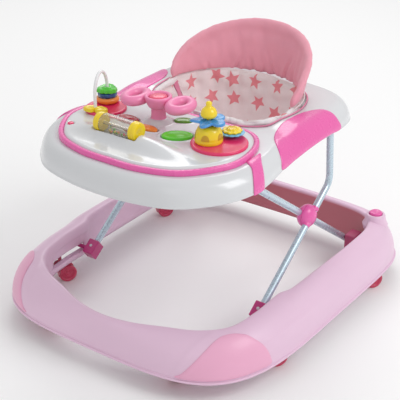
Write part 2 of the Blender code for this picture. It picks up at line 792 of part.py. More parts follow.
def make_left_toys():
    """The red deck on the left with the bead arch: a bow-shaped foot, and three beads on the wire."""
    z = DECK_TOP_Z + GAP
    bow = turned("bow_foot", [(0, 0.008), (0.0085, 0.008), (0.0105, 0.006), (0.0105, 0), (0, 0)], None, steps=20)
    bow.data.materials.append(material("yellow plastic", YELLOW))
    bow.location = (*BOW_AT, z)
    for side in (-1, 1):
        wing = turned(f"wing_{side}", [(0, 0.0065), (0.011, 0.0065), (0.0125, 0.005), (0.0125, 0), (0, 0)], None, steps=20)
        wing.location = (BOW_AT[0] + side * 0.0125, BOW_AT[1] + side * 0.004, z)
        combine(bow, wing, "UNION")
    combine(bow, cylinder("bow_bore", ARCH_R + GAP, z + 0.003, z + 0.02, sides=14, at=BOW_AT), "DIFFERENCE")
    near = np.array([*BOW_AT, z + 0.0035])
    far = np.array([*STACK_AT, z + 0.0005])
    path = []
    for t in np.linspace(0, 1, 13):
        # Half an oval: upright at both feet, with its crown at the arch's full height.
        turn = math.pi * t
        flat = near + (far - near) * (1 - math.cos(turn)) / 2
        path.append((flat[0], flat[1], z + 0.030 + (ARCH_TOP_Z - z - 0.030) * math.sin(turn)))
    path = [near] + path + [far]
    curve = bpy.data.curves.new("bead_arch", "CURVE")
    curve.dimensions = "3D"
    curve.bevel_depth = ARCH_R
    curve.bevel_resolution = 2
    curve.use_fill_caps = True
    line = curve.splines.new("POLY")
    line.points.add(len(path) - 1)
    for point, at in zip(line.points, path):
        point.co = (*at, 1)
    add_object("bead_arch", curve, material("white plastic", WHITE, 0.25))
    beads = {
        "bead_ring": (0.0005, 0.0115, 0.0225, 0.0035, ORANGE),
        "bead_disc": (0.0120, 0.0205, 0.0185, 0.0015, (0.02, 0.07, 0.22)),
        "bead_leaf": (0.0210, 0.0310, 0.0205, 0.0025, GREEN),
    }
    for name, (low, high, radius, round_off, colour) in beads.items():
        bore = ARCH_R + 0.0007
        profile = [
            (bore, high),
            (radius - round_off, high),
            (radius, high - round_off),
            (radius, low + round_off),
            (radius - round_off, low),
            (bore, low),
        ]
        hollow_turned(name, profile, material(name + " plastic", colour), at=(*STACK_AT, z))


def make_steering():
    """A column with a flared foot, the wheel with its two long grips, and the horn in the wheel's hub."""
    rose = material("wheel plastic", ROSE)
    base_z = TRAY_TOP_Z + GAP
    top = WHEEL_Z + HUB_LOW - GAP - base_z
    turned(
        "steering_column",
        [(0, top), (0.0140, top), (0.0145, 0.0085), (0.0220, 0.0020), (0.0230, 0), (0, 0)],
        rose,
        at=(*COLUMN_AT, base_z),
    )
    wheel = turned(
        "steering_wheel",
        [(0, HUB_TOP), (0.0225, HUB_TOP), (0.0255, 0.0085), (0.0250, 0.0020), (0.0180, HUB_LOW), (0, HUB_LOW)],
        rose,
        at=(*COLUMN_AT, WHEEL_Z),
    )
    wheel.rotation_euler = (0, 0, WHEEL_TURN)
    angles = np.linspace(0, 2 * math.pi, 18, endpoint=False)
    around = np.linspace(0, 2 * math.pi, 6, endpoint=False)
    for side in (-1, 1):
        rings = []
        for a in angles:
            out = GRIP_R * np.cos(around)
            x = side * GRIP_OUT + (GRIP_HALF[0] + out) * math.cos(a)
            rings.append(np.column_stack([x, (GRIP_HALF[1] + out) * math.sin(a), GRIP_R * np.sin(around)]))
        grip = loft(f"grip_{side}", rings, None, along=True)
        grip.parent = wheel
        combine(wheel, grip, "UNION")
    well = cylinder("horn_well", HORN_R + 2 * GAP, HORN_FLOOR, HUB_TOP + 0.01)
    well.parent = wheel
    combine(wheel, well, "DIFFERENCE")
    turned(
        "horn_button",
        [(0, 0.0080), (0.0100, 0.0077), (0.0160, 0.0060), (HORN_R, 0.0045), (HORN_R, 0), (0, 0)],
        material("red plastic", RED),
        at=(*COLUMN_AT, WHEEL_Z + HORN_FLOOR + 0.0025),
    )


def key_ring(name, grow, share, z):
    """An oval of one key, turned about its middle, larger all round by grow."""
    x, y, half_x, half_y, turn, _ = KEYS[name]
    angles = np.linspace(0, 2 * math.pi, 20, endpoint=False)
    turn = math.radians(turn)
    along = (half_x + grow) * share * np.cos(angles)
    across = (half_y + grow) * share * np.sin(angles)
    spots = [x + along * math.cos(turn) - across * math.sin(turn), y + along * math.sin(turn) + across * math.cos(turn)]
    return np.column_stack([*spots, np.full(len(angles), z)])


def make_keys():
    """Oval keys that stand in the tray's top and sink a little when pressed."""
    for name, (*_, colour) in KEYS.items():
        steps = ((1, 0), (1, 0.0035), (0.93, 0.0050), (0.55, 0.0062))
        rings = [key_ring(name, 0, share, tray_key_z() + z) for share, z in steps]
        loft(name, rings, material(name + " plastic", colour), caps=True)
    turned(
        "power_button",
        [(0, 0.0045), (0.0045, 0.0040), (0.006, 0.0025), (0.006, 0), (0, 0)],
        material("red plastic", RED),
        at=(*POWER_AT, tray_key_z()),
        steps=20,
    )


POWER_AT = (-0.150, -0.212)
KEY_FLOOR = 0.0040  # depth of the key wells in the tray


def tray_key_z():
    return TRAY_TOP_Z - KEY_FLOOR + GAP + KEY_TRAVEL


def cut_key_wells():
    """Wells in the play tray, a clear fit around each key and deep enough for its travel."""
    tray = bpy.data.objects["play_tray"]
    for name in KEYS:
        rings = [key_ring(name, KEY_CLEAR, 1, z) for z in (TRAY_TOP_Z - KEY_FLOOR, TRAY_TOP_Z + 0.03)]
        combine(tray, loft("well_" + name, rings, None, caps=True), "DIFFERENCE")
    low = TRAY_TOP_Z - KEY_FLOOR
    combine(tray, cylinder("well_power", 0.0066, low, low + 0.03, sides=14, at=POWER_AT), "DIFFERENCE")


def make_right_toys():
    """The red deck on the right, with the windmill and the sunflower that spin."""
    z = DECK_TOP_Z + GAP
    yellow = material("yellow plastic", YELLOW)
    blue = material("blue plastic", BLUE)
    turned(
        "windmill_tower",
        [
            (0, 0.0760),
            (0.0030, 0.0755),
            (0.0055, 0.0715),
            (0.0050, 0.0675),
            (0.0085, 0.0650),
            (0.0140, 0.0580),
            (0.0150, 0.0520),
            (0.0135, 0.0470),
            (0.0040, 0.0465),
            (0.0040, 0.0325),
            (0.0150, 0.0320),
            (0.0220, 0.0240),
            (0.0255, 0.0100),
            (0.0245, 0),
            (0, 0),
        ],
        yellow,
        at=(*MILL_AT, z),
    )
    angles = np.linspace(0, 2 * math.pi, 40, endpoint=False)
    blade = 0.0200 + 0.0140 * np.cos(2.5 * angles) ** 2
    rings = []
    for radius, height in ((blade, 0.0435), (blade, 0.0365), (0.0046, 0.0365), (0.0046, 0.0435)):
        rings.append(ring_at(angles, radius * np.ones(40), z + height))
    propeller = loft("propeller", rings, blue, along=True)
    propeller.location = (*MILL_AT, 0)
    petals = 0.0185 + 0.0030 * np.abs(np.cos(5 * angles))
    rings = [
        ring_at(angles, np.full(40, 0.0050), z + 0.0005),
        ring_at(angles, np.full(40, 0.0060), z + 0.0060),
        ring_at(angles, petals, z + 0.0075),
        ring_at(angles, petals, z + 0.0105),
        ring_at(angles, np.full(40, 0.0160), z + 0.0120),
        ring_at(angles, np.full(40, 0.0130), z + 0.0160),
    ]
    flower = loft("sunflower", rings, yellow, caps=True)
    flower.location = (*FLOWER_AT, 0)


DECK_RIM = 0.012  # width of the clear rim round the toys


def make_decks():
    for tag, (x, y, radius) in DECKS.items():
        turned(
            "toy_deck_" + tag,
            [
                (0, DECK_TOP_Z - TRAY_TOP_Z),
                (radius - DECK_RIM, DECK_TOP_Z - TRAY_TOP_Z),
                (radius - 0.003, DECK_TOP_Z - TRAY_TOP_Z),
                (radius, DECK_TOP_Z - TRAY_TOP_Z - 0.003),
                (radius, GAP),
                (0, GAP),
            ],
            material("deck plastic", RED),
            at=(x, y, TRAY_TOP_Z),
            steps=28,
        )


SEAT_FLOOR_Z = 0.262
SEAT_TOP_Z = 0.4010


def seat_rings(inset, top):
    """The seat bucket: it hangs from the hole and narrows to a saddle."""
    angles = np.linspace(-math.pi, math.pi, 32, endpoint=False)
    hole = hole_radius(angles) - 0.0035
    rings = []
    depth = SEAT_TOP_Z - SEAT_FLOOR_Z
    for drop, share in ((0.0, 1.0), (0.3, 0.97), (0.6, 0.86), (0.85, 0.68), (1.0, 0.45)):
        z = SEAT_TOP_Z - drop * depth + (top if drop == 0 else 0) + (inset if drop == 1.0 else 0)
        rings.append(ring_at(angles, hole * share - inset, z, SEAT_CENTRE))
    return rings


def make_seat_fabric():
    seat = loft("seat_fabric", seat_rings(0, 0), material("star cloth", (0.93, 0.80, 0.82), 0.9), caps=True)
    combine(seat, loft("seat_hollow", seat_rings(0.0035, 0.02), None, caps=True), "DIFFERENCE")
    for tag, side in (("left", -1), ("right", 1)):
        leg = cylinder("leg_hole_" + tag, 0.040, 0.20, 0.315, sides=14, at=(side * 0.066, 0.052))
        combine(seat, leg, "DIFFERENCE")


BACK_CENTRE_Y = 0.092
BACK_A, BACK_B = 0.141, 0.134
BACK_TOP_Z = 0.525
BACK_LEAN = 0.022  # how far the top stands behind and outside the foot
BACK_FOOT_Z = ARM_TOP_Z + GAP
BACK_THICK = 0.026
BACK_REACH = math.radians(92)


def make_backrest():
    """A padded hood around the rear of the seat: its top falls away to both sides."""
    turn = np.linspace(-BACK_REACH, BACK_REACH, 21)
    section = np.linspace(0, 2 * math.pi, 10, endpoint=False)
    rings = []
    for a in turn:
        top = BACK_FOOT_Z + 0.012 + (BACK_TOP_Z - BACK_FOOT_Z - 0.012) * max(math.cos(a * 88 / 92), 0) ** 0.62
        middle, half = (top + BACK_FOOT_Z) / 2, (top - BACK_FOOT_Z) / 2
        thin = BACK_THICK / 2 * (0.55 + 0.45 * min(1, half / 0.03))
        power = 0.62
        across = thin * np.sign(np.cos(section)) * np.abs(np.cos(section)) ** power
        z = middle + half * np.sign(np.sin(section)) * np.abs(np.sin(section)) ** power
        across = across + BACK_LEAN * (z - BACK_FOOT_Z) / (BACK_TOP_Z - BACK_FOOT_Z)
        plan = [(BACK_A + across) * math.sin(a), BACK_CENTRE_Y + (BACK_B + across) * math.cos(a)]
        rings.append(np.column_stack([*plan, z]))
    loft("backrest", rings, material("backrest cloth", SALMON, 0.85), caps=True)


clear_scene()
make_base()
make_corner_bumpers()
make_casters()
make_legs()
make_seat_body()
make_tray()
make_decks()
make_left_toys()
make_steering()
make_keys()
cut_key_wells()
make_right_toys()
make_seat_fabric()
make_backrest()
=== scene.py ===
"""Baby walker: the visible surfaces of a rolling walker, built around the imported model.

Metres, +Z up, floor at z = 0. The play tray is at -Y, the backrest at +Y. "Left" is -X, "right" is +X.
Every piece keeps its place in its mesh, and rides on the body of the part it stands for.
"""

import math

import bmesh
import bpy
import numpy as np
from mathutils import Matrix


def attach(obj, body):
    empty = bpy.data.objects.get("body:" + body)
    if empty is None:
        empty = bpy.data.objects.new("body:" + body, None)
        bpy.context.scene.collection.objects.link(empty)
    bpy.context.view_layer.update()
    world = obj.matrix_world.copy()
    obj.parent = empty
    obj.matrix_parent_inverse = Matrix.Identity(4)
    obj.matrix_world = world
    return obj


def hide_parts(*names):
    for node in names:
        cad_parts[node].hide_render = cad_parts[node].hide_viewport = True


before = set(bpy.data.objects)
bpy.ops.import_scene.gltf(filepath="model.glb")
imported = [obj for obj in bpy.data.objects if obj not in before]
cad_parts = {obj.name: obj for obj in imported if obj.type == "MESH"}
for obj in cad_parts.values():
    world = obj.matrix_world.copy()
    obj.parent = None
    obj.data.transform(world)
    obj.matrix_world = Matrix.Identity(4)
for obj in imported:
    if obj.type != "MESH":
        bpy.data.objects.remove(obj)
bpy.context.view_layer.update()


# ---- floor, light and camera ----
# A plain pale sweep, three large soft boxes and a bright surround, as in a small product studio.
def make_stage():
    mesh = bpy.data.meshes.new("studio_floor")
    half = 6.0
    corners = [(-half, -half, 0), (half, -half, 0), (half, half, 0), (-half, half, 0)]
    mesh.from_pydata(corners, [], [(0, 1, 2, 3)])
    floor = bpy.data.objects.new("studio_floor", mesh)
    bpy.context.scene.collection.objects.link(floor)
    paper = bpy.data.materials.new("studio paper")
    paper.use_nodes = True
    shader = paper.node_tree.nodes["Principled BSDF"]
    shader.inputs["Base Color"].default_value = (0.97, 0.97, 0.97, 1)
    shader.inputs["Roughness"].default_value = 0.9
    shader.inputs["Specular IOR Level"].default_value = 0.1
    mesh.materials.append(paper)
    world = bpy.data.worlds.new("studio surround")
    world.use_nodes = True
    world.node_tree.nodes["Background"].inputs["Color"].default_value = (1.0, 1.0, 1.0, 1)
    world.node_tree.nodes["Background"].inputs["Strength"].default_value = 0.68
    bpy.context.scene.world = world
    boxes = {
        "key": ((2.1, 0.3, 2.2), 1.3, 25.0),
        "front": ((0.8, -2.4, 1.9), 1.2, 2.0),
        "rim": ((-1.3, 1.8, 2.4), 1.4, 18.0),
    }
    for name, (at, size, power) in boxes.items():
        light = bpy.data.lights.new(name + "_box", "AREA")
        light.size = size
        light.energy = power
        lamp = bpy.data.objects.new(name + "_box", light)
        bpy.context.scene.collection.objects.link(lamp)
        lamp.location = at
        aim = np.array([0, 0, 0.25]) - np.array(at)
        pitch = math.acos(-aim[2] / np.linalg.norm(aim))
        lamp.rotation_euler = (pitch, 0, math.atan2(aim[1], aim[0]) - math.pi / 2)


def make_camera(azimuth=35.84, elevation=26.82, distance=2.2001, aim=(-0.006, -0.001, 0.2056)):
    """A long lens that looks at the walker's middle from its front right, a little above the tray."""
    lens = bpy.data.cameras.new("camera")
    lens.sensor_width = 36
    lens.lens = 98.36
    camera = bpy.data.objects.new("camera", lens)
    bpy.context.scene.collection.objects.link(camera)
    turn, lift = math.radians(azimuth), math.radians(elevation)
    camera.location = (
        aim[0] + distance * math.cos(lift) * math.sin(turn),
        aim[1] - distance * math.cos(lift) * math.cos(turn),
        aim[2] + distance * math.sin(lift),
    )
    camera.rotation_euler = (math.pi / 2 - lift, 0, turn)
    bpy.context.scene.camera = camera


make_stage()
make_camera()
bpy.context.scene.view_settings.view_transform = "Standard"


# ---- base ring ----
# One injection moulding in pale pink polypropylene: an inverted channel with a thin lip all round, a
# shallow embossed front panel and a slot for each front leg. The casters push into sockets under it.
LIP_Z, LIP_THICK = 0.040, 0.004
BASE_WALL = 0.003
FACE_FOOT_Z = LIP_Z + LIP_THICK + 0.002
INNER_FOOT_Z = 0.050
INNER_HALF = [
    (0, -0.316), (0.060, -0.308), (0.117, -0.288), (0.180, -0.264), (0.222, -0.224), (0.234, -0.160),
    (0.236, -0.090), (0.247, -0.055), (0.250, 0.060), (0.251, 0.170), (0.245, 0.240), (0.218, 0.284),
    (0.150, 0.300), (0, 0.304),
]
PALE_PINK = (0.82, 0.575, 0.735)
SLOT_Y, SLOT_Z = (-0.200, -0.098), (0.0666, 0.0776)


def smooth_step(x, low, high):
    """0 below low and 1 above high, with the cubic 3t^2 - 2t^3 between. high may lie below low."""
    t = np.clip((x - low) / (high - low), 0, 1)
    return t * t * (3 - 2 * t)


def whole_turn(count, start=0.0):
    """Even angles round a whole turn, without its end."""
    return np.linspace(start, start + 2 * math.pi, count, endpoint=False)


def polar(centre, radius, at, z):
    """Points at a distance and an angle from an upright axis, at a height."""
    x, y = centre[0] + radius * np.cos(at), centre[1] + radius * np.sin(at)
    return np.stack(np.broadcast_arrays(x, y, z), axis=-1)


def points_of(piece, kind="co"):
    """The places of a piece's vertices as rows, or with kind "normal" their normals."""
    values = np.empty(len(piece.data.vertices) * 3)
    piece.data.vertices.foreach_get(kind, values)
    return values.reshape(-1, 3)


def move_points(piece, spots):
    piece.data.vertices.foreach_set("co", np.ravel(spots))
    piece.data.update()


def closed_curve(points, fineness=24):
    """A closed Catmull-Rom curve: each span is the cubic through its four neighbouring points."""
    loop = np.asarray(points, float)
    a, b, c, d = (np.roll(loop, k, axis=0)[:, None] for k in (1, 0, -1, -2))
    t = np.linspace(0, 1, fineness, endpoint=False)[None, :, None]
    curve = b + 0.5 * t * (c - a + t * (2 * a - 5 * b + 4 * c - d + t * (3 * (b - c) + d - a)))
    return curve.reshape(-1, loop.shape[1])


def mirrored(half):
    half = np.asarray(half, float)
    return np.vstack([half, (half[1:-1] * (-1, 1))[::-1]])


def polar_outline(centre, half):
    """The mirrored outline as a function: its distance from the centre at an angle."""
    away = closed_curve(mirrored(half)) - np.asarray(centre)
    angle = np.arctan2(away[:, 1], away[:, 0])
    order = np.argsort(angle)
    reach = np.hypot(*away[order].T)
    return lambda at: np.interp(at, angle[order], reach, period=2 * math.pi)


inner_outline = polar_outline((0, 0), INNER_HALF)


def lip_outline(at):
    """A superellipse, |x/a|^n + |y/b|^n = 1, squarer at the rear than at the front."""
    n = np.where(np.sin(at) < 0, 3.9, 7.0)
    return (np.abs(np.cos(at) / 0.310) ** n + np.abs(np.sin(at) / 0.351) ** n) ** (-1 / n)


def swung_height(at, side, front, rear, power=2.0):
    """The side's height, changed towards the front's and the rear's by |sin|^power."""
    lean = np.sin(at)
    height = side + (front - side) * np.clip(-lean, 0, 1) ** power
    return height + (rear - side) * np.clip(lean, 0, 1) ** power


def crest_height(at):
    return swung_height(at, 0.123, 0.106, 0.121)


def base_relief(at, climb):
    """Embossing of the base's face: the front panel lies 1.2 mm lower than the corners, between two
    lines that lean with the bumpers, and a soft crease runs back from each bumper's end."""
    off_front = np.degrees(np.abs((at + math.pi / 2 + math.pi) % (2 * math.pi) - math.pi))
    edge = 27.4 + 3.0 * climb + 8.5 * climb**2
    panel = -0.0013 * smooth_step(off_front, edge + 0.55, edge - 0.55)
    fade = smooth_step(off_front, 53, 56) * smooth_step(off_front, 84, 66)
    crease = 0.0016 * np.exp(-(((climb - 0.40) / 0.045) ** 2)) * fade
    below = -0.0010 * smooth_step(climb, 0.42, 0.36) * smooth_step(climb, 0.0, 0.10) * fade
    return panel * smooth_step(climb, 0.02, 0.08) + crease + below


def base_face(at, climb, proud=0.0):
    """A point `proud` above the face: climb 0 to 1 is a quarter ellipse from the lip to the crest."""
    foot = lip_outline(at) - 0.004
    crest = inner_outline(at) + 0.010
    turn = climb * math.pi / 2
    radius = foot - (foot - crest) * (1 - np.cos(turn)) + proud * np.cos(turn)
    height = FACE_FOOT_Z + (crest_height(at) - FACE_FOOT_Z) * np.sin(turn) + proud * np.sin(turn)
    return polar((0, 0), radius, at, height)


def surface(name, grid, look, round_rows=False, round_columns=True, caps=False, keep=None, sharp=40,
            lay=None):
    """A mesh over a grid of points (rows, columns, 3). Each cell is a quad; round_rows and
    round_columns join the last row or column to the first, and caps closes both end rows with a fan.
    The faces are turned outwards by the sign of the volume that the wrapped grid encloses. `lay` gives
    each point its place on the flat cloth, kept as an attribute."""
    rows, columns = grid.shape[:2]
    index = np.arange(rows * columns).reshape(rows, columns)
    wrapped = np.pad(index, 1, mode="wrap")[1:, 1:]
    quads = np.stack([wrapped[:-1, :-1], wrapped[:-1, 1:], wrapped[1:, 1:], wrapped[1:, :-1]], axis=-1)
    points = grid.reshape(-1, 3)
    corner = (points - points.mean(axis=0))[quads.reshape(-1, 4)]
    volume = np.einsum("ij,ij->i", corner[:, 0], np.cross(corner[:, 1], corner[:, 2])).sum()
    volume += np.einsum("ij,ij->i", corner[:, 0], np.cross(corner[:, 2], corner[:, 3])).sum()
    quads = quads[: rows if round_rows else rows - 1, : columns if round_columns else columns - 1]
    if keep is not None:
        quads = quads[keep]
    faces = quads.reshape(-1, 4).tolist()
    if caps:
        points = np.vstack([points, grid[0].mean(axis=0), grid[-1].mean(axis=0)])
        hub = rows * columns
        start, end = index[0], index[-1]
        faces += np.stack([np.full(columns, hub), np.roll(start, -1), start], axis=1).tolist()
        faces += np.stack([np.full(columns, hub + 1), end, np.roll(end, -1)], axis=1).tolist()
    if volume < 0:
        faces = [face[::-1] for face in faces]
    used, faces_flat = np.unique(np.concatenate(faces), return_inverse=True)
    sizes = [len(face) for face in faces]
    faces = [part.tolist() for part in np.split(faces_flat, np.cumsum(sizes)[:-1])]
    mesh = bpy.data.meshes.new(name)
    mesh.from_pydata(points[used].tolist(), [], faces)
    mesh.shade_smooth()
    mesh.set_sharp_from_angle(angle=math.radians(sharp))
    made = bpy.data.objects.new(name, mesh)
    bpy.context.scene.collection.objects.link(made)
    mesh.materials.append(look)
    if lay is not None:
        flat = mesh.attributes.new("lay", "FLOAT_VECTOR", "POINT")
        flat.data.foreach_set("vector", lay.reshape(-1, 3)[used].ravel())
    return made


def thicken(piece, wall):
    step = piece.modifiers.new("Wall", "SOLIDIFY")
    step.thickness = wall
    step.offset = -1
    return piece


def stand_for(piece, body, slot, *nodes):
    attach(piece, body)
    if nodes:
        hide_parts(*nodes)
    return piece


def node_group(name, inputs, outputs):
    """A new shader group with named sockets: (name, kind, default) going in, (name, kind) coming out."""
    group = bpy.data.node_groups.new(name, "ShaderNodeTree")
    for label, kind, default in inputs:
        socket = group.interface.new_socket(label, in_out="INPUT", socket_type=kind)
        socket.default_value = default
    for label, kind in outputs:
        group.interface.new_socket(label, in_out="OUTPUT", socket_type=kind)
    return group, group.nodes.new("NodeGroupInput"), group.nodes.new("NodeGroupOutput")


def maths_in(group):
    """Returns a function that adds a math node to the group, from numbers or other nodes' outputs."""
    def maths(operation, *values):
        made = group.nodes.new("ShaderNodeMath")
        made.operation = operation
        for socket, value in zip(made.inputs, values):
            if isinstance(value, (int, float)):
                socket.default_value = value
            else:
                group.links.new(value, socket)
        return made.outputs[0]

    return maths


def noise_in(group, place, scale, detail):
    made = group.nodes.new("ShaderNodeTexNoise")
    made.inputs["Scale"].default_value = scale
    made.inputs["Detail"].default_value = detail
    group.links.new(place, made.inputs["Vector"])
    return made.outputs["Fac"]


def bump_in(group, height):
    made = group.nodes.new("ShaderNodeBump")
    made.inputs["Distance"].default_value = 1.0
    group.links.new(height, made.inputs["Height"])
    return made.outputs["Normal"]


def build_moulding_group():
    """Moulded plastic: a slow drift of the colour, fine speckle in the gloss, faint scratches that
    dull it, and the light orange peel of a moulded skin as a normal."""
    group, given, out = node_group(
        "moulded skin",
        [
            ("Colour", "NodeSocketColor", (0.8, 0.8, 0.8, 1)),
            ("Shade", "NodeSocketColor", (0.7, 0.7, 0.7, 1)),
            ("Drift", "NodeSocketFloat", 0.25),
            ("Roughness", "NodeSocketFloat", 0.3),
            ("Peel", "NodeSocketFloat", 0.00006),
        ],
        [("Colour", "NodeSocketColor"), ("Roughness", "NodeSocketFloat"), ("Normal", "NodeSocketVector")],
    )
    nodes, links = group.nodes, group.links
    place = nodes.new("ShaderNodeTexCoord").outputs["Object"]
    maths = maths_in(group)
    tint = nodes.new("ShaderNodeMix")
    tint.data_type = "RGBA"
    links.new(maths("MULTIPLY", noise_in(group, place, 7.0, 3.0), given.outputs["Drift"]), tint.inputs[0])
    links.new(given.outputs["Colour"], tint.inputs[6])
    links.new(given.outputs["Shade"], tint.inputs[7])
    links.new(tint.outputs[2], out.inputs["Colour"])
    stretched = nodes.new("ShaderNodeMapping")
    stretched.inputs["Scale"].default_value = (900, 60, 300)
    stretched.inputs["Rotation"].default_value = (0.4, 0.2, 0.9)
    links.new(place, stretched.inputs["Vector"])
    fine = maths("GREATER_THAN", noise_in(group, stretched.outputs[0], 1.0, 2.0), 0.74)
    rubbed = maths("MULTIPLY", fine, maths("GREATER_THAN", noise_in(group, place, 14.0, 2.0), 0.56))
    gloss = maths("ADD", given.outputs["Roughness"],
                  maths("MULTIPLY", noise_in(group, place, 60.0, 4.0), 0.07))
    links.new(maths("ADD", gloss, maths("MULTIPLY", rubbed, 0.10)), out.inputs["Roughness"])
    peel = maths("MULTIPLY", noise_in(group, place, 420.0, 2.0), given.outputs["Peel"])
    links.new(bump_in(group, peel), out.inputs["Normal"])
    return group


moulded_skin = build_moulding_group()


def plastic(name, colour, roughness=0.30, drift=0.25, peel=0.000015, coat=0.25, shade=0.82):
    """A moulded plastic. `shade` darkens and saturates the colour that the drift mixes in."""
    made = bpy.data.materials.get(name)
    if made:
        return made
    made = bpy.data.materials.new(name)
    made.use_nodes = True
    nodes, links = made.node_tree.nodes, made.node_tree.links
    shader = nodes["Principled BSDF"]
    skin = nodes.new("ShaderNodeGroup")
    skin.node_tree = moulded_skin
    skin.inputs["Colour"].default_value = (*colour, 1)
    skin.inputs["Shade"].default_value = (*(np.array(colour) ** 1.15 * shade), 1)
    skin.inputs["Drift"].default_value = drift
    skin.inputs["Roughness"].default_value = roughness
    skin.inputs["Peel"].default_value = peel
    links.new(skin.outputs["Colour"], shader.inputs["Base Color"])
    links.new(skin.outputs["Roughness"], shader.inputs["Roughness"])
    links.new(skin.outputs["Normal"], shader.inputs["Normal"])
    shader.inputs["Coat Weight"].default_value = coat
    shader.inputs["Coat Roughness"].default_value = 0.12
    return made


def base_plastic():
    """The base's pale pink. Inside the rear bar the thin wall is painted deep rose, as painted shade
    for the hollow that little light reaches; the plastic there is the same pale pink.
    """
    made = plastic("base plastic", PALE_PINK, roughness=0.34, drift=0.35, coat=0.12)
    nodes, links = made.node_tree.nodes, made.node_tree.links
    # This attribute marks the rear bar's inner wall, where painted shade is mixed into the colour.
    depth = nodes.new("ShaderNodeAttribute")
    depth.attribute_name = "painted_shade"
    mix = nodes.new("ShaderNodeMix")
    mix.data_type = "RGBA"
    # Painted shadow colour: a deep rose for the inside of the rear bar.
    mix.inputs[7].default_value = (0.50, 0.135, 0.17, 1)
    links.new(depth.outputs["Fac"], mix.inputs[0])
    skin = next(node for node in nodes if node.type == "GROUP")
    links.new(skin.outputs["Colour"], mix.inputs[6])
    links.new(mix.outputs[2], nodes["Principled BSDF"].inputs["Base Color"])
    return made


def make_base():
    """The section runs from the lip over the face and the crest, and down the inner wall."""
    even = whole_turn(480, -math.pi)
    slot_ends = [math.atan2(y, side * inner_outline(math.atan2(y, side * 0.236)))
                 for y in SLOT_Y for side in (-1, 1)]
    at = np.sort(np.concatenate([even, slot_ends]))
    lip = lip_outline(at)
    flat = [(lip - 0.0002, LIP_Z), (lip, LIP_Z + 0.0008), (lip, LIP_Z + 0.0028),
            (lip - 0.0006, LIP_Z + 0.0036), (lip - 0.0016, LIP_Z + LIP_THICK),
            (lip - 0.0034, LIP_Z + LIP_THICK + 0.0002)]
    rows = [polar((0, 0), radius, at, height) for radius, height in flat]
    for climb in np.concatenate([[0, 0.02, 0.045, 0.08], np.linspace(0.115, 1, 30)]):
        rows.append(base_face(at, climb, base_relief(at, climb)))
    inner = inner_outline(at)
    crest = crest_height(at)
    wall = [(inner + 0.0072, crest - 0.0003), (inner + 0.0045, crest - 0.0016),
            (inner + 0.0022, crest - 0.0042),
            (inner + 0.0008, crest - 0.0078), (inner, crest - 0.0125)]
    x, y = inner * np.cos(at), inner * np.sin(at)
    beside = (smooth_step(y, SLOT_Y[0] - 0.012, SLOT_Y[0] + 0.004)
              * smooth_step(y, SLOT_Y[1] + 0.020, SLOT_Y[1])
              * smooth_step(np.abs(x), 0.19, 0.215))
    top = crest - 0.0125
    for share in np.linspace(0.1, 0.75, 9):
        wall.append((inner + 0.0035 * beside * smooth_step(share, 0.30, 0.45), top + share * (0.084 - top)))
    recess = inner + 0.0035 * beside
    wall += [(recess, 0.0800), (recess, SLOT_Z[1]), (recess, 0.0721), (recess, SLOT_Z[0])]
    rail = inner - 0.0035 * beside
    wall += [(recess, 0.0655), (rail, 0.0645), (rail - 0.0006, 0.0630), (rail - 0.0006, 0.0580),
             (rail, 0.0560), (inner, INNER_FOOT_Z)]
    wall_start = len(rows)
    rows += [polar((0, 0), radius, at, height) for radius, height in wall]
    grid = np.stack(rows)
    middle = (grid[:-1] + np.roll(grid[1:], -1, axis=1)) / 2
    slotted = ((middle[..., 1] > SLOT_Y[0] + 0.001) & (middle[..., 1] < SLOT_Y[1] - 0.001)
               & (middle[..., 2] > SLOT_Z[0] - 0.0002) & (middle[..., 2] < SLOT_Z[1] + 0.0002)
               & (np.arange(len(rows) - 1)[:, None] >= wall_start) & (np.abs(middle[..., 0]) > 0.2))
    bossed = np.hypot(np.abs(middle[..., 0]) - BOSS_AT[0], middle[..., 1] - BOSS_AT[1]) < 0.0170
    base = surface("base_ring", grid, base_plastic(), keep=~(slotted | (bossed & (middle[..., 2] > 0.095))),
                   sharp=50)
    co = points_of(base)
    # A mask for painted shade: the inner wall of the rear bar, below its crest, is darkened to deep rose in
    # base_plastic.
    around = np.arctan2(co[:, 1], co[:, 0])
    inside = smooth_step(np.hypot(co[:, 0], co[:, 1]) - inner_outline(around), 0.0035, 0.0012)
    painted_shade = inside * smooth_step(co[:, 1], 0.20, 0.27) * smooth_step(co[:, 2], 0.121, 0.114)
    base.data.attributes.new("painted_shade", "FLOAT", "POINT").data.foreach_set("value", painted_shade)
    thicken(base, BASE_WALL)
    stand_for(base, "base", "base", "base_shell")
    for tag, side in (("left", -1), ("right", 1)):
        boss = turned(
            "lock_boss_" + tag,
            [(0.0142, 0.1105), (0.0142, 0.1300), (0.0150, 0.1318), (0.0168, 0.1322), (0.0190, 0.1312),
             (0.0206, 0.1280), (0.0216, 0.1220), (0.0232, 0.1160), (0.0270, 0.1090), (0.0250, 0.1000),
             (0.0150, 0.1040)],
            plastic("boss plastic", PALE_PINK, roughness=0.34, drift=0.35, coat=0.12),
            (side * BOSS_AT[0], BOSS_AT[1], 0),
            ring=True,
        )
        stand_for(boss, "base", "base")


def turned(name, profile, look, at=(0, 0, 0), ring=False, around=64, waves=None, sharp=40):
    """A profile of (radius, height) turned about an upright axis. With ring, the profile closes on
    itself; otherwise both its ends lie near the axis and are closed with a fan. `waves` is an array
    of factors, one for each angle, that the radii are multiplied by."""
    angle = whole_turn(around)
    profile = np.asarray(profile, float)
    radius = profile[:, :1] * (np.ones(around) if waves is None else waves)[None, :]
    grid = polar(at, radius, angle, at[2] + profile[:, 1:])
    return surface(name, grid, look, round_rows=ring, caps=not ring, sharp=sharp)


BOSS_AT = (0.246, 0.284)
make_base()


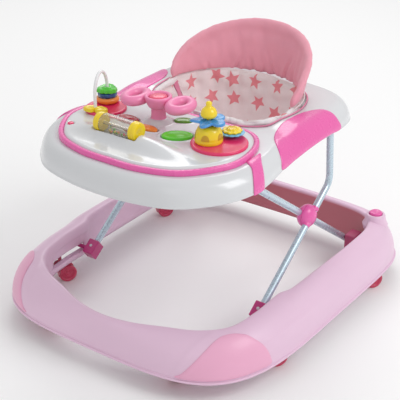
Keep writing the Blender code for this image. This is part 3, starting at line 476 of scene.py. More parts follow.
# ---- corner bumpers ----
# Two soft rose pads set into the front corners. Each leans forward: a long slope rises from the lip to
# the top near the crest, and a short round end drops to the side.
BUMPER_OUTLINE = [
    (-61.6, 0.010), (-60.2, 0.085), (-57.6, 0.27), (-54.4, 0.50), (-51.4, 0.70), (-48.7, 0.815),
    (-45.4, 0.82), (-41.6, 0.71), (-39.1, 0.57), (-36.6, 0.41), (-35.1, 0.27), (-34.1, 0.12),
    (-34.2, 0.012), (-39.0, 0.008), (-46.0, 0.006), (-54.0, 0.006),
]
ROSE = (0.87, 0.44, 0.62)


def pad(name, outline, centre, place, look, proud, side, roundness=22, rings=None):
    """A pad that follows a wall. Its outline is a closed curve in the wall's own two parameters, and
    ring s runs from the centre (0) to the outline (1). The face stands proud * (1 - s^n)^(1/n) off the
    wall, so it is level inside and rolls off at its edge."""
    rim = closed_curve(outline, 14)
    steps = [0.12, 0.3, 0.48, 0.64, 0.78, 0.87, 0.93, 0.96, 0.98, 0.993, 1.0] if rings is None else rings
    grid = []
    for s in steps:
        spot = np.asarray(centre) + s * (rim - centre)
        lift = proud * (1 - s**roundness) ** (1 / 2.2)
        grid.append(place(np.radians(spot[:, 0]), spot[:, 1], lift))
    for s in (1.0, 0.985):
        spot = np.asarray(centre) + s * (rim - centre)
        grid.append(place(np.radians(spot[:, 0]), spot[:, 1], -0.0012))
    grid = np.stack(grid) * (side, 1, 1)
    return surface(name, grid, look, caps=True)


for tag, side in (("left", -1), ("right", 1)):
    bumper = pad(
        "bumper_pad_" + tag, BUMPER_OUTLINE, (-47.5, 0.33), base_face,
        plastic("bumper plastic", ROSE, roughness=0.36, drift=0.30, coat=0.10), 0.0030, side,
    )
    stand_for(bumper, "base", "bumper", "corner_bumper_" + tag)


# ---- fold-lock buttons and rear brackets ----
# Glossy magenta push buttons in the bosses at the rear corners, and crimson brackets inside them that
# take the rear legs on a pin.
MAGENTA = (0.84, 0.125, 0.42)
BERRY = (0.40, 0.022, 0.115)
magenta = plastic("magenta plastic", MAGENTA, roughness=0.24, drift=0.20, coat=0.35)
berry = plastic("berry plastic", BERRY, roughness=0.28, drift=0.25, coat=0.25)
for tag, side in (("left", -1), ("right", 1)):
    button = turned(
        "lock_cap_" + tag,
        [(0.0005, 0.1172), (0.0128, 0.1172), (0.0133, 0.1180), (0.0133, 0.1335), (0.0128, 0.1352),
         (0.0112, 0.1364), (0.0080, 0.1368), (0.0050, 0.1362), (0.0020, 0.1358), (0.0005, 0.1357)],
        magenta, (side * BOSS_AT[0], BOSS_AT[1], 0),
    )
    stand_for(button, "lock_" + tag, "magenta", "lock_button_" + tag)
    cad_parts["rear_foot_bracket_" + tag].material_slots[0].material = berry


# ---- casters ----
# Six twin-wheel swivel casters, moulded in crimson: a fork with a hood, two wheels with a rounded tread
# and a dished outer face, on one axle.
CRIMSON = (0.60, 0.045, 0.115)
WHEEL_R = 0.019
TRAIL = 0.014
CASTERS = {
    "front_left": (-0.150, -0.300, 90), "front_right": (0.150, -0.300, 90),
    "middle_left": (-0.262, -0.150, 60), "middle_right": (0.262, -0.150, 60),
    "rear_left": (-0.274, 0.205, 60), "rear_right": (0.274, 0.205, 60),
}
WHEEL_FACE = [  # radius, distance along the axle: one wheel, from its cap to its inner face
    (0.0005, 0.0108), (0.0040, 0.0108), (0.0046, 0.0103), (0.0052, 0.0092), (0.0118, 0.0092),
    (0.0128, 0.0106), (0.0150, 0.0121), (0.0168, 0.0123), (0.0182, 0.0116), (0.0190, 0.0101),
    (0.0190, 0.0070), (0.0184, 0.0056), (0.0172, 0.0052), (0.0030, 0.0052),
]
crimson = plastic("caster plastic", CRIMSON, roughness=0.27, drift=0.25, coat=0.3)


def turned_about_axle(name, profile, look, centre, heading, **more):
    """As turned, for a profile of (radius, distance along the axle), laid on the caster's axle."""
    made = turned(name, profile, look, **more)
    x, y, z = points_of(made).T
    along = np.array([math.cos(heading), math.sin(heading), 0])
    axle = np.array([-math.sin(heading), math.cos(heading), 0])
    spot = np.asarray(centre) + x[:, None] * along + z[:, None] * axle - y[:, None] * np.array([0, 0, 1])
    move_points(made, spot)
    return made


for name, (x, y, heading) in CASTERS.items():
    turn = math.radians(heading)
    axle = (x + TRAIL * math.cos(turn), y + TRAIL * math.sin(turn), WHEEL_R)
    wheels = turned_about_axle(
        "wheel_" + name,
        WHEEL_FACE + [(radius, -along) for radius, along in WHEEL_FACE[::-1]],
        crimson, axle, turn, around=48,
    )
    stand_for(wheels, "wheel_" + name, "caster", "caster_wheel_" + name)
    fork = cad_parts["caster_fork_" + name]
    fork.material_slots[0].material = crimson
    hood = turned("caster_hood_" + name,
                  [(0.0005, 0.0452), (0.0090, 0.0450), (0.0125, 0.0436), (0.0138, 0.0412),
                   (0.0138, 0.0394), (0.0128, 0.0390), (0.0005, 0.0390)], crimson, (x, y, 0), around=40)
    stand_for(hood, "swivel_" + name, "caster")


# ---- legs ----
# Two bent steel tubes on each side, powder coated in silver blue. Leg B is one yoke that crosses under
# the tray. Sleeves at the lower ends slide in the base's slots or turn in the rear brackets.
TUBE_R = 0.0070
LEG_A_X, LEG_B_X, HUB_X = 0.208, 0.192, 0.200
HUB_YZ = (0.0725, 0.202)
ARM, ARM_ANGLE = 0.221, math.radians(36)
TOP_PIVOT_YZ = (0.1325, 0.372)
CROSSBAR_Z = 0.362
BEND_RUN, BEND_R = 0.0865, 0.030
STEEL = (0.56, 0.68, 0.76)


def bent_path(corners, radius, steps=14):
    """Straight runs between the corners; each inner corner is a circular bend of the given radius."""
    corners = [np.asarray(c, float) for c in corners]
    path = [corners[0]]
    for before, corner, after in zip(corners, corners[1:], corners[2:]):
        into = (before - corner) / np.linalg.norm(before - corner)
        out = (after - corner) / np.linalg.norm(after - corner)
        half = math.acos(np.clip(into @ out, -1, 1)) / 2
        middle = corner + (into + out) / np.linalg.norm(into + out) * radius / math.sin(half)
        start, end = (corner + d * radius / math.tan(half) - middle for d in (into, out))
        spread = math.acos(np.clip(start @ end / radius**2, -1, 1))
        for t in np.linspace(0, 1, steps):
            swung = math.sin((1 - t) * spread) * start + math.sin(t * spread) * end
            path.append(middle + swung / math.sin(spread))
    path.append(corners[-1])
    return np.array(path)


def carried(path, section, sideways):
    """Carries a closed section along a path: at each point it lies in the plane of `sideways`' part
    square to the path and of their cross product. Returns the grid (points of the path, section)."""
    along = np.gradient(path, axis=0)
    along /= np.linalg.norm(along, axis=1, keepdims=True)
    sideways = np.broadcast_to(sideways, path.shape)
    across = sideways - along * (sideways * along).sum(1)[:, None]
    across = across / np.linalg.norm(across, axis=1, keepdims=True)
    up = np.cross(along, across)
    section = np.broadcast_to(section, (len(path), *np.shape(section)[-2:]))
    return path[:, None] + section[..., :1] * across[:, None] + section[..., 1:] * up[:, None]


def circle(radius, count=28):
    angle = whole_turn(count)
    return radius * np.column_stack([np.cos(angle), np.sin(angle)])


def tube(name, path, look, sideways, radius=TUBE_R, wall=0.0012):
    """A pipe along the path with an open bore at both ends: its outer skin, then its inner one back."""
    outer = carried(path, circle(radius), sideways)
    inner = carried(path, circle(radius - wall), sideways)
    return surface(name, np.concatenate([outer, inner[::-1]]), look, round_rows=True, sharp=50)


def coated_steel():
    """Powder coat over steel: half metallic, with a soft grain in its gloss and fine bump."""
    made = plastic("leg coating", STEEL, roughness=0.24, drift=0.25, peel=0.000004, coat=0.4, shade=0.9)
    made.node_tree.nodes["Principled BSDF"].inputs["Metallic"].default_value = 0.55
    return made


steel = coated_steel()
foot_a = np.array([0, HUB_YZ[0] - ARM * math.cos(ARM_ANGLE), HUB_YZ[1] - ARM * math.sin(ARM_ANGLE)])
foot_b = np.array([0, HUB_YZ[0] + ARM * math.cos(ARM_ANGLE), HUB_YZ[1] - ARM * math.sin(ARM_ANGLE)])
along_a = np.array([0, math.cos(ARM_ANGLE), math.sin(ARM_ANGLE)])
along_b = np.array([0, math.cos(ARM_ANGLE), -math.sin(ARM_ANGLE)])
hub = np.array([0, *HUB_YZ])
bend = hub + BEND_RUN * along_a
top_pivot = np.array([0, *TOP_PIVOT_YZ])
past_top = top_pivot + (top_pivot - bend) / np.linalg.norm(top_pivot - bend) * 0.010
for tag, side in (("left", -1), ("right", 1)):
    out = np.array([side * LEG_A_X, 0, 0])
    leg = tube("leg_a_" + tag, bent_path([foot_a - 0.010 * along_a + out, bend + out, past_top + out],
                                         BEND_R),
               steel, (1, 0, 0))
    stand_for(leg, "leg_a", "tube", "leg_a_tube_" + tag)
run = (CROSSBAR_Z - HUB_YZ[1]) / math.sin(ARM_ANGLE)
corner_b = hub - run * along_b
route = [foot_b + 0.012 * along_b, corner_b, corner_b, foot_b + 0.012 * along_b]
route = [p + np.array([s * LEG_B_X, 0, 0]) for p, s in zip(route, (-1, -1, 1, 1))]
yoke = tube("leg_b_yoke", bent_path(route, BEND_R), steel, along_a)
stand_for(yoke, "leg_b", "tube", "leg_b_tube")

zinc = plastic("zinc plate", (0.58, 0.59, 0.61), roughness=0.22, coat=0.0)
for tag, side in (("left", -1), ("right", 1)):
    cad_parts["foot_block_" + tag].material_slots[0].material = plastic(
        "sleeve plastic", (0.50, 0.035, 0.19), roughness=0.26, coat=0.3)
    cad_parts["hub_pin_" + tag].material_slots[0].material = zinc
    screw = turned("sleeve_screw_" + tag,
                   [(0.0004, 0.0016), (0.0022, 0.0016), (0.0030, 0.0010), (0.0032, 0.0), (0.0004, 0.0)],
                   zinc, around=24)
    x, y, z = points_of(screw).T
    normal = np.array([0, -math.sin(ARM_ANGLE), math.cos(ARM_ANGLE)])
    spot = (foot_a + np.array([side * LEG_A_X, 0, 0]) + 0.0125 * normal + 0.004 * along_a
            + x[:, None] * np.array([1.0, 0, 0]) + y[:, None] * along_a + z[:, None] * normal)
    move_points(screw, spot)
    stand_for(screw, "leg_a", "pin")


# ---- hub covers ----
# The crossing is closed by a ball of two halves. The outer half clips on leg A, the inner one on leg B;
# each has a moulded collar round its tube and a seam where the halves meet.
def make_hub_half(part, tag, side, body):
    """Half of a flattened ball. Rings run from the seam to the pole, with a 0.7 mm round at the seam."""
    outward = 1 if part == "outer" else -1
    facing = side * outward
    lean = np.concatenate([[0.0, 0.012, 0.03], np.linspace(0.07, math.pi / 2 - 0.02, 22)])
    radius = 0.0235 * np.cos(lean)
    radius[:2] -= (0.0007, 0.0003)
    turn = whole_turn(56)
    reach = 0.0235 * 0.76 * np.sin(lean) + 0.0003
    grid = np.stack([
        np.broadcast_to(side * HUB_X + facing * reach[:, None], (len(lean), 56)),
        HUB_YZ[0] + radius[:, None] * np.cos(turn), HUB_YZ[1] + radius[:, None] * np.sin(turn)], axis=-1)
    half = surface(f"hub_half_{part}_{tag}", grid, magenta, caps=True)
    stand_for(half, body, "magenta", f"hub_cover_{part}_{tag}")
    pitch = ARM_ANGLE if part == "outer" else -ARM_ANGLE
    along = np.array([0, math.cos(pitch), math.sin(pitch)])
    centre = np.array([side * (LEG_A_X if part == "outer" else LEG_B_X), *HUB_YZ])
    for end, way in (("low", -1), ("high", 1)):
        path = centre + np.linspace(0.0150, 0.0225, 6)[:, None] * way * along
        flare = np.array([0.0079, 0.0079, 0.0079, 0.0079, 0.0078, 0.0077])
        rings = carried(path, np.stack([circle(r) for r in flare]), (1, 0, 0))
        collar = surface(f"hub_collar_{part}_{end}_{tag}", rings, magenta, caps=True)
        stand_for(collar, body, "magenta")


for tag, side in (("left", -1), ("right", 1)):
    make_hub_half("outer", tag, side, "leg_a")
    make_hub_half("inner", tag, side, "leg_b")


# ---- seat body ----
# The glossy pearl-white shell that carries the tray, the seat and the toys: a deep curved skirt with a
# thin bead along its lower rim, a rounded shoulder, and a flat top around the seat's opening.
SEAT_CENTRE = (0.0, 0.08)
RIM_HALF = [
    (0, -0.318), (0.081, -0.311), (0.151, -0.289), (0.206, -0.235), (0.231, -0.180), (0.234, -0.130),
    (0.225, -0.060), (0.222, 0.020), (0.222, 0.100), (0.221, 0.165), (0.203, 0.218), (0.155, 0.250),
    (0.080, 0.262), (0, 0.264),
]
SHOULDER_HALF = [
    (0, -0.291), (0.070, -0.287), (0.138, -0.262), (0.184, -0.205), (0.202, -0.150), (0.200, -0.085),
    (0.187, -0.025), (0.184, 0.060), (0.186, 0.140), (0.178, 0.195), (0.148, 0.226), (0.080, 0.241),
    (0, 0.244),
]
HOLE_HALF = [
    (0, -0.026), (0.080, -0.020), (0.132, 0.010), (0.150, 0.065), (0.149, 0.125), (0.120, 0.182),
    (0.065, 0.210), (0, 0.216),
]
TRAY_SEAT_Z, ARM_TOP_Z, TOP_REACH = 0.3970, 0.4030, 0.05
PEARL = (0.70, 0.71, 0.73)
rim_outline = polar_outline(SEAT_CENTRE, RIM_HALF)
shoulder_outline = polar_outline(SEAT_CENTRE, SHOULDER_HALF)
hole_outline = polar_outline(SEAT_CENTRE, HOLE_HALF)
pearl = plastic("pearl plastic", PEARL, roughness=0.18, drift=0.30, peel=0.00001, coat=0.5, shade=0.9)


def plate_height(at):
    """The top: low under the tray, a step higher beside and behind the seat."""
    share = smooth_step(-np.sin(at), 0.20, 0.45)
    return ARM_TOP_Z + (TRAY_SEAT_Z - ARM_TOP_Z) * share


def skirt(at, climb, proud=0.0):
    """A point on the outer wall. Climb 0 to 1 is a quarter ellipse from the rim to the shoulder, and
    past 1 it runs inwards over the flat top, by TOP_REACH for each whole unit."""
    low, high = rim_outline(at), shoulder_outline(at)
    turn = np.minimum(climb, 1) * math.pi / 2
    radius = low - (low - high) * (1 - np.cos(turn)) + proud * np.cos(turn)
    radius = radius - TOP_REACH * np.clip(climb - 1, 0, None)
    rim = swung_height(at, 0.368, 0.350, 0.357, 1.5)
    height = rim + (plate_height(at) - rim) * np.sin(turn) + proud * np.sin(turn)
    return polar(SEAT_CENTRE, radius, at, height)


def make_seat_body():
    at = whole_turn(360, -math.pi)
    bead = ((0.0, -0.0015), (0.0, 0.0006), (0.012, 0.0012), (0.030, 0.0012), (0.046, 0.0004), (0.06, 0.0))
    rows = [skirt(at, climb, proud) for climb, proud in bead]
    rows += [skirt(at, climb) for climb in np.linspace(0.09, 1.0, 26)]
    hole = hole_outline(at)
    shoulder = shoulder_outline(at)
    top = plate_height(at)
    edge = [(shoulder + (hole + 0.006 - shoulder) * share, top + 0.0006 * math.sin(math.pi * share))
            for share in (0.2, 0.5, 0.8, 1.0)]
    edge += [(hole + 0.0030, top - 0.0006), (hole + 0.0008, top - 0.0026), (hole, top - 0.0055),
             (hole, top - 0.018), (hole, 0.373)]
    rows += [polar(SEAT_CENTRE, radius, at, height) for radius, height in edge]
    body = surface("seat_shell", np.stack(rows), pearl, sharp=60)
    thicken(body, 0.0024)
    stand_for(body, "seat", "white", "seat_body")


make_seat_body()


# ---- armrest panels and tray straps ----
# Magenta covers snapped over the shell's sides, rolling over the shoulder onto the top, and a strap at
# each side that runs from the tray's band down to the rim and locks the tray.
PANEL_OUTLINE = [
    (-33.2, 0.02), (-33.7, 0.35), (-33.0, 0.85), (-30.4, 1.22), (-25.2, 1.44), (-17.0, 1.50),
    (-5.0, 1.44), (5.5, 1.38), (11.8, 1.24), (15.2, 1.02), (16.4, 0.70), (16.2, 0.35), (16.6, 0.02),
    (8.0, 0.015), (-3.0, 0.015), (-14.0, 0.015), (-25.0, 0.015),
]
for tag, side in (("left", -1), ("right", 1)):
    panel = pad("armrest_cover_" + tag, PANEL_OUTLINE, (-9, 0.62), skirt, magenta, 0.0026, side,
                roundness=40,
                rings=[0.08, 0.2, 0.3, 0.4, 0.5, 0.58, 0.66, 0.74, 0.8, 0.86, 0.91, 0.95, 0.975, 0.99,
                       0.997, 1.0])
    stand_for(panel, "seat", "magenta", "armrest_panel_" + tag)
    strap_at = np.radians(np.array([-47.4, -47.4, -47.2, -46.6, -45.4, -44.2, -43.6, -43.4, -43.4]))
    lift = np.array([-0.0010, 0.0016, 0.0028, 0.0032, 0.0033, 0.0032, 0.0028, 0.0016, -0.0010])
    flare = 1 + 0.55 * smooth_step(np.linspace(0, 1.14, 26), 0.70, 1.14)
    middle = math.radians(-45.4)
    rows = [skirt(middle + (strap_at - middle) * wide, np.full(9, climb), lift)
            for climb, wide in zip(np.concatenate([[-0.012], np.linspace(0.01, 1.14, 25)]), flare)]
    strap = surface("tray_strap_" + tag, np.stack(rows) * (side, 1, 1), magenta, round_columns=True,
                    caps=True)
    stand_for(strap, "seat", "magenta", "tray_clip_" + tag)


# ---- play tray ----
# A white moulded plate in a magenta band. A ridge across its front houses the roller, and its top has
# wells for the keys. The band covers the joint between the plate and the seat body.
TRAY_CENTRE = (0, -0.150)
TRAY_TOP_Z = 0.4090
BAND_HALF = [
    (0, -0.289), (0.068, -0.285), (0.137, -0.258), (0.183, -0.200), (0.197, -0.150), (0.184, -0.085),
    (0.150, -0.045), (0.090, -0.034), (0, -0.034),
]
DRUM_AT = (-0.033, -0.212, 0.4315)
DRUM_R, DRUM_HALF, CAP_HALF = 0.0185, 0.034, 0.048
ROLLER_CAP = [  # radius, distance out from the drum's end
    (0.0005, 0.0), (0.0182, 0.0), (0.0188, 0.0012), (0.0188, 0.0035), (0.0180, 0.0048), (0.0180, 0.0060),
    (0.0184, 0.0072), (0.0182, 0.0100), (0.0170, 0.0128), (0.0150, 0.0136), (0.0060, 0.0136),
    (0.0050, 0.0128),
    (0.0005, 0.0128),
]
KEYS = {  # x, y, half length, half width, turn in degrees
    "red": (-0.0765, -0.1310, 0.0225, 0.0100, 0), "orange": (-0.0180, -0.1480, 0.0210, 0.0100, 0),
    "green": (0.0460, -0.1435, 0.0280, 0.0200, 33), "olive": (0.0135, -0.0810, 0.0170, 0.0105, 33),
}
WELL_GROW, WELL_DEPTH, WELL_LIP = 0.0018, 0.0054, 0.0012
POWER_AT = (-0.150, -0.212)
COLUMN_AT, CONSOLE_RISE = (-0.0245, -0.107), 0.0080
band_outline = polar_outline(TRAY_CENTRE, BAND_HALF)


def tray_height(x, y):
    """The plate's top: flat, with a ridge, a Gaussian across its depth times a flat-topped one along
    its width, and a dome that carries the steering column. The ridge's front is steeper."""
    back = np.where(y > -0.218, 0.024, 0.021)
    ridge = np.exp(-np.abs((y + 0.218) / back) ** 2.3) * np.exp(-(np.abs((x + 0.012) / 0.104) ** 3.5))
    dome = smooth_step(np.hypot(x - COLUMN_AT[0], y - COLUMN_AT[1]), 0.031, 0.015)
    return TRAY_TOP_Z + 0.0205 * ridge + CONSOLE_RISE * dome


def key_reach(key, x, y, grow=0.0):
    """How far a place lies from a key's middle, as a share of the key's oval in that direction."""
    cx, cy, half_x, half_y, turn = key
    turn = math.radians(turn)
    along = (x - cx) * math.cos(turn) + (y - cy) * math.sin(turn)
    across = (y - cy) * math.cos(turn) - (x - cx) * math.sin(turn)
    return np.hypot(along / (half_x + grow), across / (half_y + grow))


def make_tray():
    """The plate is a polar grid about the tray's centre, with its edge rolled down into the band; wells
    for the keys and the roller are pressed into it by steep smooth steps."""
    at = whole_turn(300, -math.pi)
    edge = band_outline(at) - 0.0100
    roll = ((0.0, TRAY_SEAT_Z + 0.0006), (0.0, 0.4042), (0.0006, 0.4058), (0.0020, 0.4072))
    rows = [polar(TRAY_CENTRE, edge - inset, at, height) for inset, height in roll]
    for share in np.concatenate([[0.972, 0.962], np.linspace(0.95, 0.02, 92)]):
        x = TRAY_CENTRE[0] + edge * share * np.cos(at)
        y = TRAY_CENTRE[1] + edge * share * np.sin(at)
        z = tray_height(x, y)
        z = z - (1 - smooth_step(share, 0.99, 0.955)) * 0.001
        for key in KEYS.values():
            away = key_reach(key, x, y, grow=WELL_GROW)
            z = z - WELL_DEPTH * smooth_step(away, 1.05, 0.98)
            z = z + WELL_LIP * smooth_step(np.abs(away - 1.16), 0.13, 0.02)
        away = np.hypot(x - POWER_AT[0], y - POWER_AT[1])
        z = z - 0.0035 * smooth_step(away, 0.0084, 0.0068)
        across = np.clip(1 - ((y - DRUM_AT[1]) / (DRUM_R + 0.0022)) ** 2, 0, 1) ** 0.5 * (DRUM_R + 0.0022)
        beside = smooth_step(np.abs(x - DRUM_AT[0]), CAP_HALF + 0.0045, CAP_HALF + 0.0015)
        trough = DRUM_AT[2] - across
        z = np.where(beside > 0, np.minimum(z, z + (trough - z) * beside), z)
        rows.append(np.stack([x, y, z], axis=-1))
    tray = surface("tray_plate", np.stack(rows), pearl, caps=True, sharp=60)
    stand_for(tray, "seat", "white", "play_tray")
    band = [(-0.0100, 0.3975), (-0.0100, 0.4040), (-0.0094, 0.4056), (-0.0078, 0.4066), (-0.0050, 0.4070),
            (-0.0022, 0.4066), (-0.0005, 0.4054), (0.0, 0.4036), (0.0, 0.3975)]
    outer = band_outline(at)
    grid = np.stack([polar(TRAY_CENTRE, outer + out, at, z) for out, z in band])
    ring = surface("tray_trim", grid, magenta, round_rows=True, sharp=60)
    stand_for(ring, "seat", "magenta", "tray_band")


make_tray()


# ---- toy decks and keys ----
# Red discs that carry the toys, and oval keys that sink a little when pressed. Each key is domed and
# has a raised rim.
RED = (0.82, 0.032, 0.15)
DECKS = {"left": (-0.143, -0.119, 0.0400), "right": (0.129, -0.129, 0.0520)}
DECK_TOP_Z = 0.4145
deck_red = plastic("deck plastic", RED, roughness=0.22, coat=0.4)
for tag, (x, y, radius) in DECKS.items():
    deck = turned(
        "deck_" + tag,
        [(0.0005, 0.0), (radius, 0.0), (radius + 0.0002, 0.0028), (radius - 0.0004, 0.0042),
         (radius - 0.0016, 0.0051), (radius - 0.0030, 0.0055), (radius - 0.0044, 0.0054),
         (radius - 0.0060, 0.0051), (radius * 0.5, 0.0053), (0.0005, 0.0054)],
        deck_red, (x, y, TRAY_TOP_Z), around=96)
    stand_for(deck, "seat", "deck", "toy_deck_" + tag)
KEY_COLOURS = {
    "red": (0.48, 0.012, 0.03), "orange": (0.90, 0.25, 0.02),
    "green": (0.14, 0.76, 0.035), "olive": (0.12, 0.30, 0.02),
}
KEY_Z = 0.4073
KEY_RINGS = [(1.0, 0.0), (1.0, 0.0030), (0.985, 0.0042), (0.95, 0.0050), (0.90, 0.0053), (0.84, 0.0050),
             (0.78, 0.0047), (0.6, 0.0054), (0.35, 0.0060), (0.1, 0.0062)]
for tag, (x, y, half_x, half_y, turn) in KEYS.items():
    angle = whole_turn(72)
    share, z = np.array(KEY_RINGS).T[:, :, None]
    pointed = 1 + (0.05 * np.cos(2 * angle) - 0.03 if tag == "green" else 0)
    along, across = half_x * share * pointed * np.cos(angle), half_y * share * pointed * np.sin(angle)
    cos_t, sin_t = math.cos(math.radians(turn)), math.sin(math.radians(turn))
    grid = np.stack([
        x + along * cos_t - across * sin_t, y + along * sin_t + across * cos_t, KEY_Z + z + 0 * along],
        axis=-1)
    look = plastic(tag + " key plastic", KEY_COLOURS[tag], roughness=0.2, coat=0.4)
    key = surface("key_cap_" + tag, grid, look, caps=True)
    stand_for(key, tag + "_key", tag, "key_" + tag)
power = turned("power_cap", [(0.0003, 0.0), (0.0060, 0.0), (0.0060, 0.0026), (0.0054, 0.0038),
                             (0.0040, 0.0044), (0.0003, 0.0046)],
               deck_red, (*POWER_AT, KEY_Z), around=40)
stand_for(power, "power", "red", "power_button")


# ---- roller ----
# A clear drum with loose coloured beads, between two yellow caps. It spins on the ridge.
YELLOW = (0.93, 0.69, 0.015)
yellow = plastic("yellow plastic", YELLOW, roughness=0.22, coat=0.4)


def clear_plastic(name, tint, roughness=0.06):
    """Clear styrene: a thin plain glass shell, with its gloss a little worn."""
    made = bpy.data.materials.new(name)
    made.use_nodes = True
    nodes, links = made.node_tree.nodes, made.node_tree.links
    shader = nodes["Principled BSDF"]
    shader.inputs["Base Color"].default_value = (*tint, 1)
    shader.inputs["Transmission Weight"].default_value = 0.92
    shader.inputs["IOR"].default_value = 1.3
    skin = nodes.new("ShaderNodeGroup")
    skin.node_tree = moulded_skin
    skin.inputs["Roughness"].default_value = roughness
    links.new(skin.outputs["Roughness"], shader.inputs["Roughness"])
    return made


def along_x(profile, centre, around=64):
    """A profile of (radius, x) turned about the roller's axis."""
    turn = whole_turn(around)
    profile = np.asarray(profile, float)
    return np.stack([
        np.broadcast_to(centre[0] + profile[:, 1:], (len(profile), around)),
        centre[1] + profile[:, :1] * np.cos(turn), centre[2] + profile[:, :1] * np.sin(turn)], axis=-1)


def make_roller():
    drum = along_x([(0.0175, -DRUM_HALF), (0.0180, -0.030), (0.0180, 0.030), (0.0175, DRUM_HALF),
                    (0.0163, DRUM_HALF), (0.0163, -DRUM_HALF)], DRUM_AT)
    window = surface("roller_window", drum, clear_plastic("clear plastic", (0.97, 0.96, 0.92)),
                     round_rows=True)
    stand_for(window, "roller", "clear", "roller_drum")
    spine = surface("roller_spindle", along_x([(0.0030, -DRUM_HALF), (0.0030, DRUM_HALF)], DRUM_AT),
                    clear_plastic("clear spindle", (0.95, 0.95, 0.93), 0.12), caps=True)
    stand_for(spine, "roller", "clear")
    for tag, way in (("left", -1), ("right", 1)):
        start = way * (DRUM_HALF + 0.0002)
        profile = [(radius, start + way * out) for radius, out in ROLLER_CAP]
        cap = surface("roller_end_" + tag, along_x(profile, DRUM_AT), yellow, caps=True)
        stand_for(cap, "roller", "yellow", "roller_cap_" + tag)
    rng = np.random.default_rng(5)
    orange = plastic("orange bead plastic", (0.9, 0.3, 0.03))
    green = plastic("green bead plastic", (0.1, 0.55, 0.05))
    for k, look in enumerate((yellow, deck_red, orange, green)):
        x = DRUM_AT[0] + rng.uniform(-0.026, 0.026, 5)
        turn = rng.uniform(3.5, 5.9, 5)
        spots = np.column_stack([x, DRUM_AT[1] + 0.0128 * np.cos(turn), DRUM_AT[2] + 0.0128 * np.sin(turn)])
        bead = beads(f"roller_beads_{k + 1}", spots, 0.0023, look)
        stand_for(bead, "roller", "clear")


def beads(name, centres, radius, look, rings=8, around=14):
    """Small balls at the centres: one sphere's rings, repeated by broadcasting, in one mesh."""
    lift = np.linspace(-math.pi / 2 + 0.12, math.pi / 2 - 0.12, rings)
    turn = whole_turn(around)
    ball = radius * np.stack([np.cos(lift)[:, None] * np.cos(turn), np.cos(lift)[:, None] * np.sin(turn),
                              np.broadcast_to(np.sin(lift)[:, None], (rings, around))], axis=-1)
    made = None
    for k, centre in enumerate(centres):
        one = surface(f"{name}_{k}", ball + centre, look, caps=True)
        if made is None:
            made = one
            continue
        joined = bmesh.new()
        joined.from_mesh(made.data)
        joined.from_mesh(one.data)
        joined.to_mesh(made.data)
        joined.free()
        bpy.data.objects.remove(one)
    made.name = name
    return made


make_roller()


# ---- bead arch ----
# A white plastic wire bent into an arch on the left deck. It stands in a yellow bow-shaped foot, and an
# orange ring, a dark blue disc and a green leaf turn on its far leg.
BOW_AT, STACK_AT = (-0.143, -0.149), (-0.156, -0.098)
ARCH_R, ARCH_TOP_Z = 0.0032, 0.484
DECK_Z = DECK_TOP_Z + 0.0003
near = np.array([*BOW_AT, DECK_Z + 0.0035])
far = np.array([*STACK_AT, DECK_Z + 0.0005])
t = np.linspace(0, 1, 40)[:, None]
flat = near + (far - near) * (1 - np.cos(math.pi * t)) / 2
flat[:, 2] = (DECK_Z + 0.030 + (ARCH_TOP_Z - DECK_Z - 0.030) * np.sin(math.pi * t))[:, 0]
wire_path = np.vstack([near, near + (0, 0, 0.012), flat, far + (0, 0, 0.012), far])
square = np.cross(far - near, (0, 0, 1.0))
wire = surface("arch_wire", carried(wire_path, circle(ARCH_R, 20), square / np.linalg.norm(square)),
               plastic("wire plastic", (0.86, 0.86, 0.87), roughness=0.2, coat=0.4), caps=True)
stand_for(wire, "seat", "white", "bead_arch")


def make_bow():
    """The bow's outline is a rose, r = a + b cos(2u), pinched at its waist, over a rounded edge."""
    angle = whole_turn(96)
    reach = 0.0150 + 0.0085 * np.cos(2 * angle) + 0.0012 * np.cos(6 * angle)
    tilt = math.atan2(0.004, 0.0125)
    steps = ((1.0, 0.0), (1.0, 0.0048), (0.97, 0.0062), (0.90, 0.0072), (0.80, 0.0074), (0.70, 0.0068),
             (0.55, 0.0066), (0.42, 0.0078), (0.30, 0.0084), (0.15, 0.0086))
    grid = [polar(BOW_AT, reach * share, angle + tilt, DECK_Z + z) for share, z in steps]
    bow = surface("arch_bow", np.stack(grid), yellow, caps=True)
    stand_for(bow, "seat", "yellow", "bow_foot")


make_bow()
ring_turn = whole_turn(96)
BEADS = {
    "ring": ((0.90, 0.27, 0.03), "orange", None,
             [(0.0042, 0.0010), (0.0170, 0.0006), (0.0205, 0.0014), (0.0224, 0.0040), (0.0228, 0.0066),
              (0.0216, 0.0096), (0.0190, 0.0112), (0.0160, 0.0104), (0.0042, 0.0100)]),
    "disc": ((0.02, 0.09, 0.26), "navy", 1 + 0.03 * np.cos(8 * ring_turn),
             [(0.0042, 0.0122), (0.0168, 0.0122), (0.0180, 0.0132), (0.0183, 0.0160), (0.0183, 0.0180),
              (0.0174, 0.0198), (0.0160, 0.0204), (0.0042, 0.0204)]),
    "leaf": ((0.09, 0.60, 0.04), "green", 1 + 0.10 * np.cos(3 * ring_turn) + 0.035 * np.cos(12 * ring_turn),
             [(0.0042, 0.0212), (0.0172, 0.0212), (0.0190, 0.0224), (0.0192, 0.0256), (0.0180, 0.0290),
              (0.0160, 0.0300), (0.0140, 0.0292), (0.0100, 0.0288), (0.0080, 0.0306), (0.0042, 0.0310)]),
}
for tag, (colour, slot, waves, profile) in BEADS.items():
    bead = turned("arch_" + tag, profile, plastic(f"{tag} bead plastic", colour, roughness=0.2, coat=0.4),
                  (*STACK_AT, DECK_Z), ring=True, around=96, waves=waves)
    stand_for(bead, tag + "_bead", slot, "bead_" + tag)


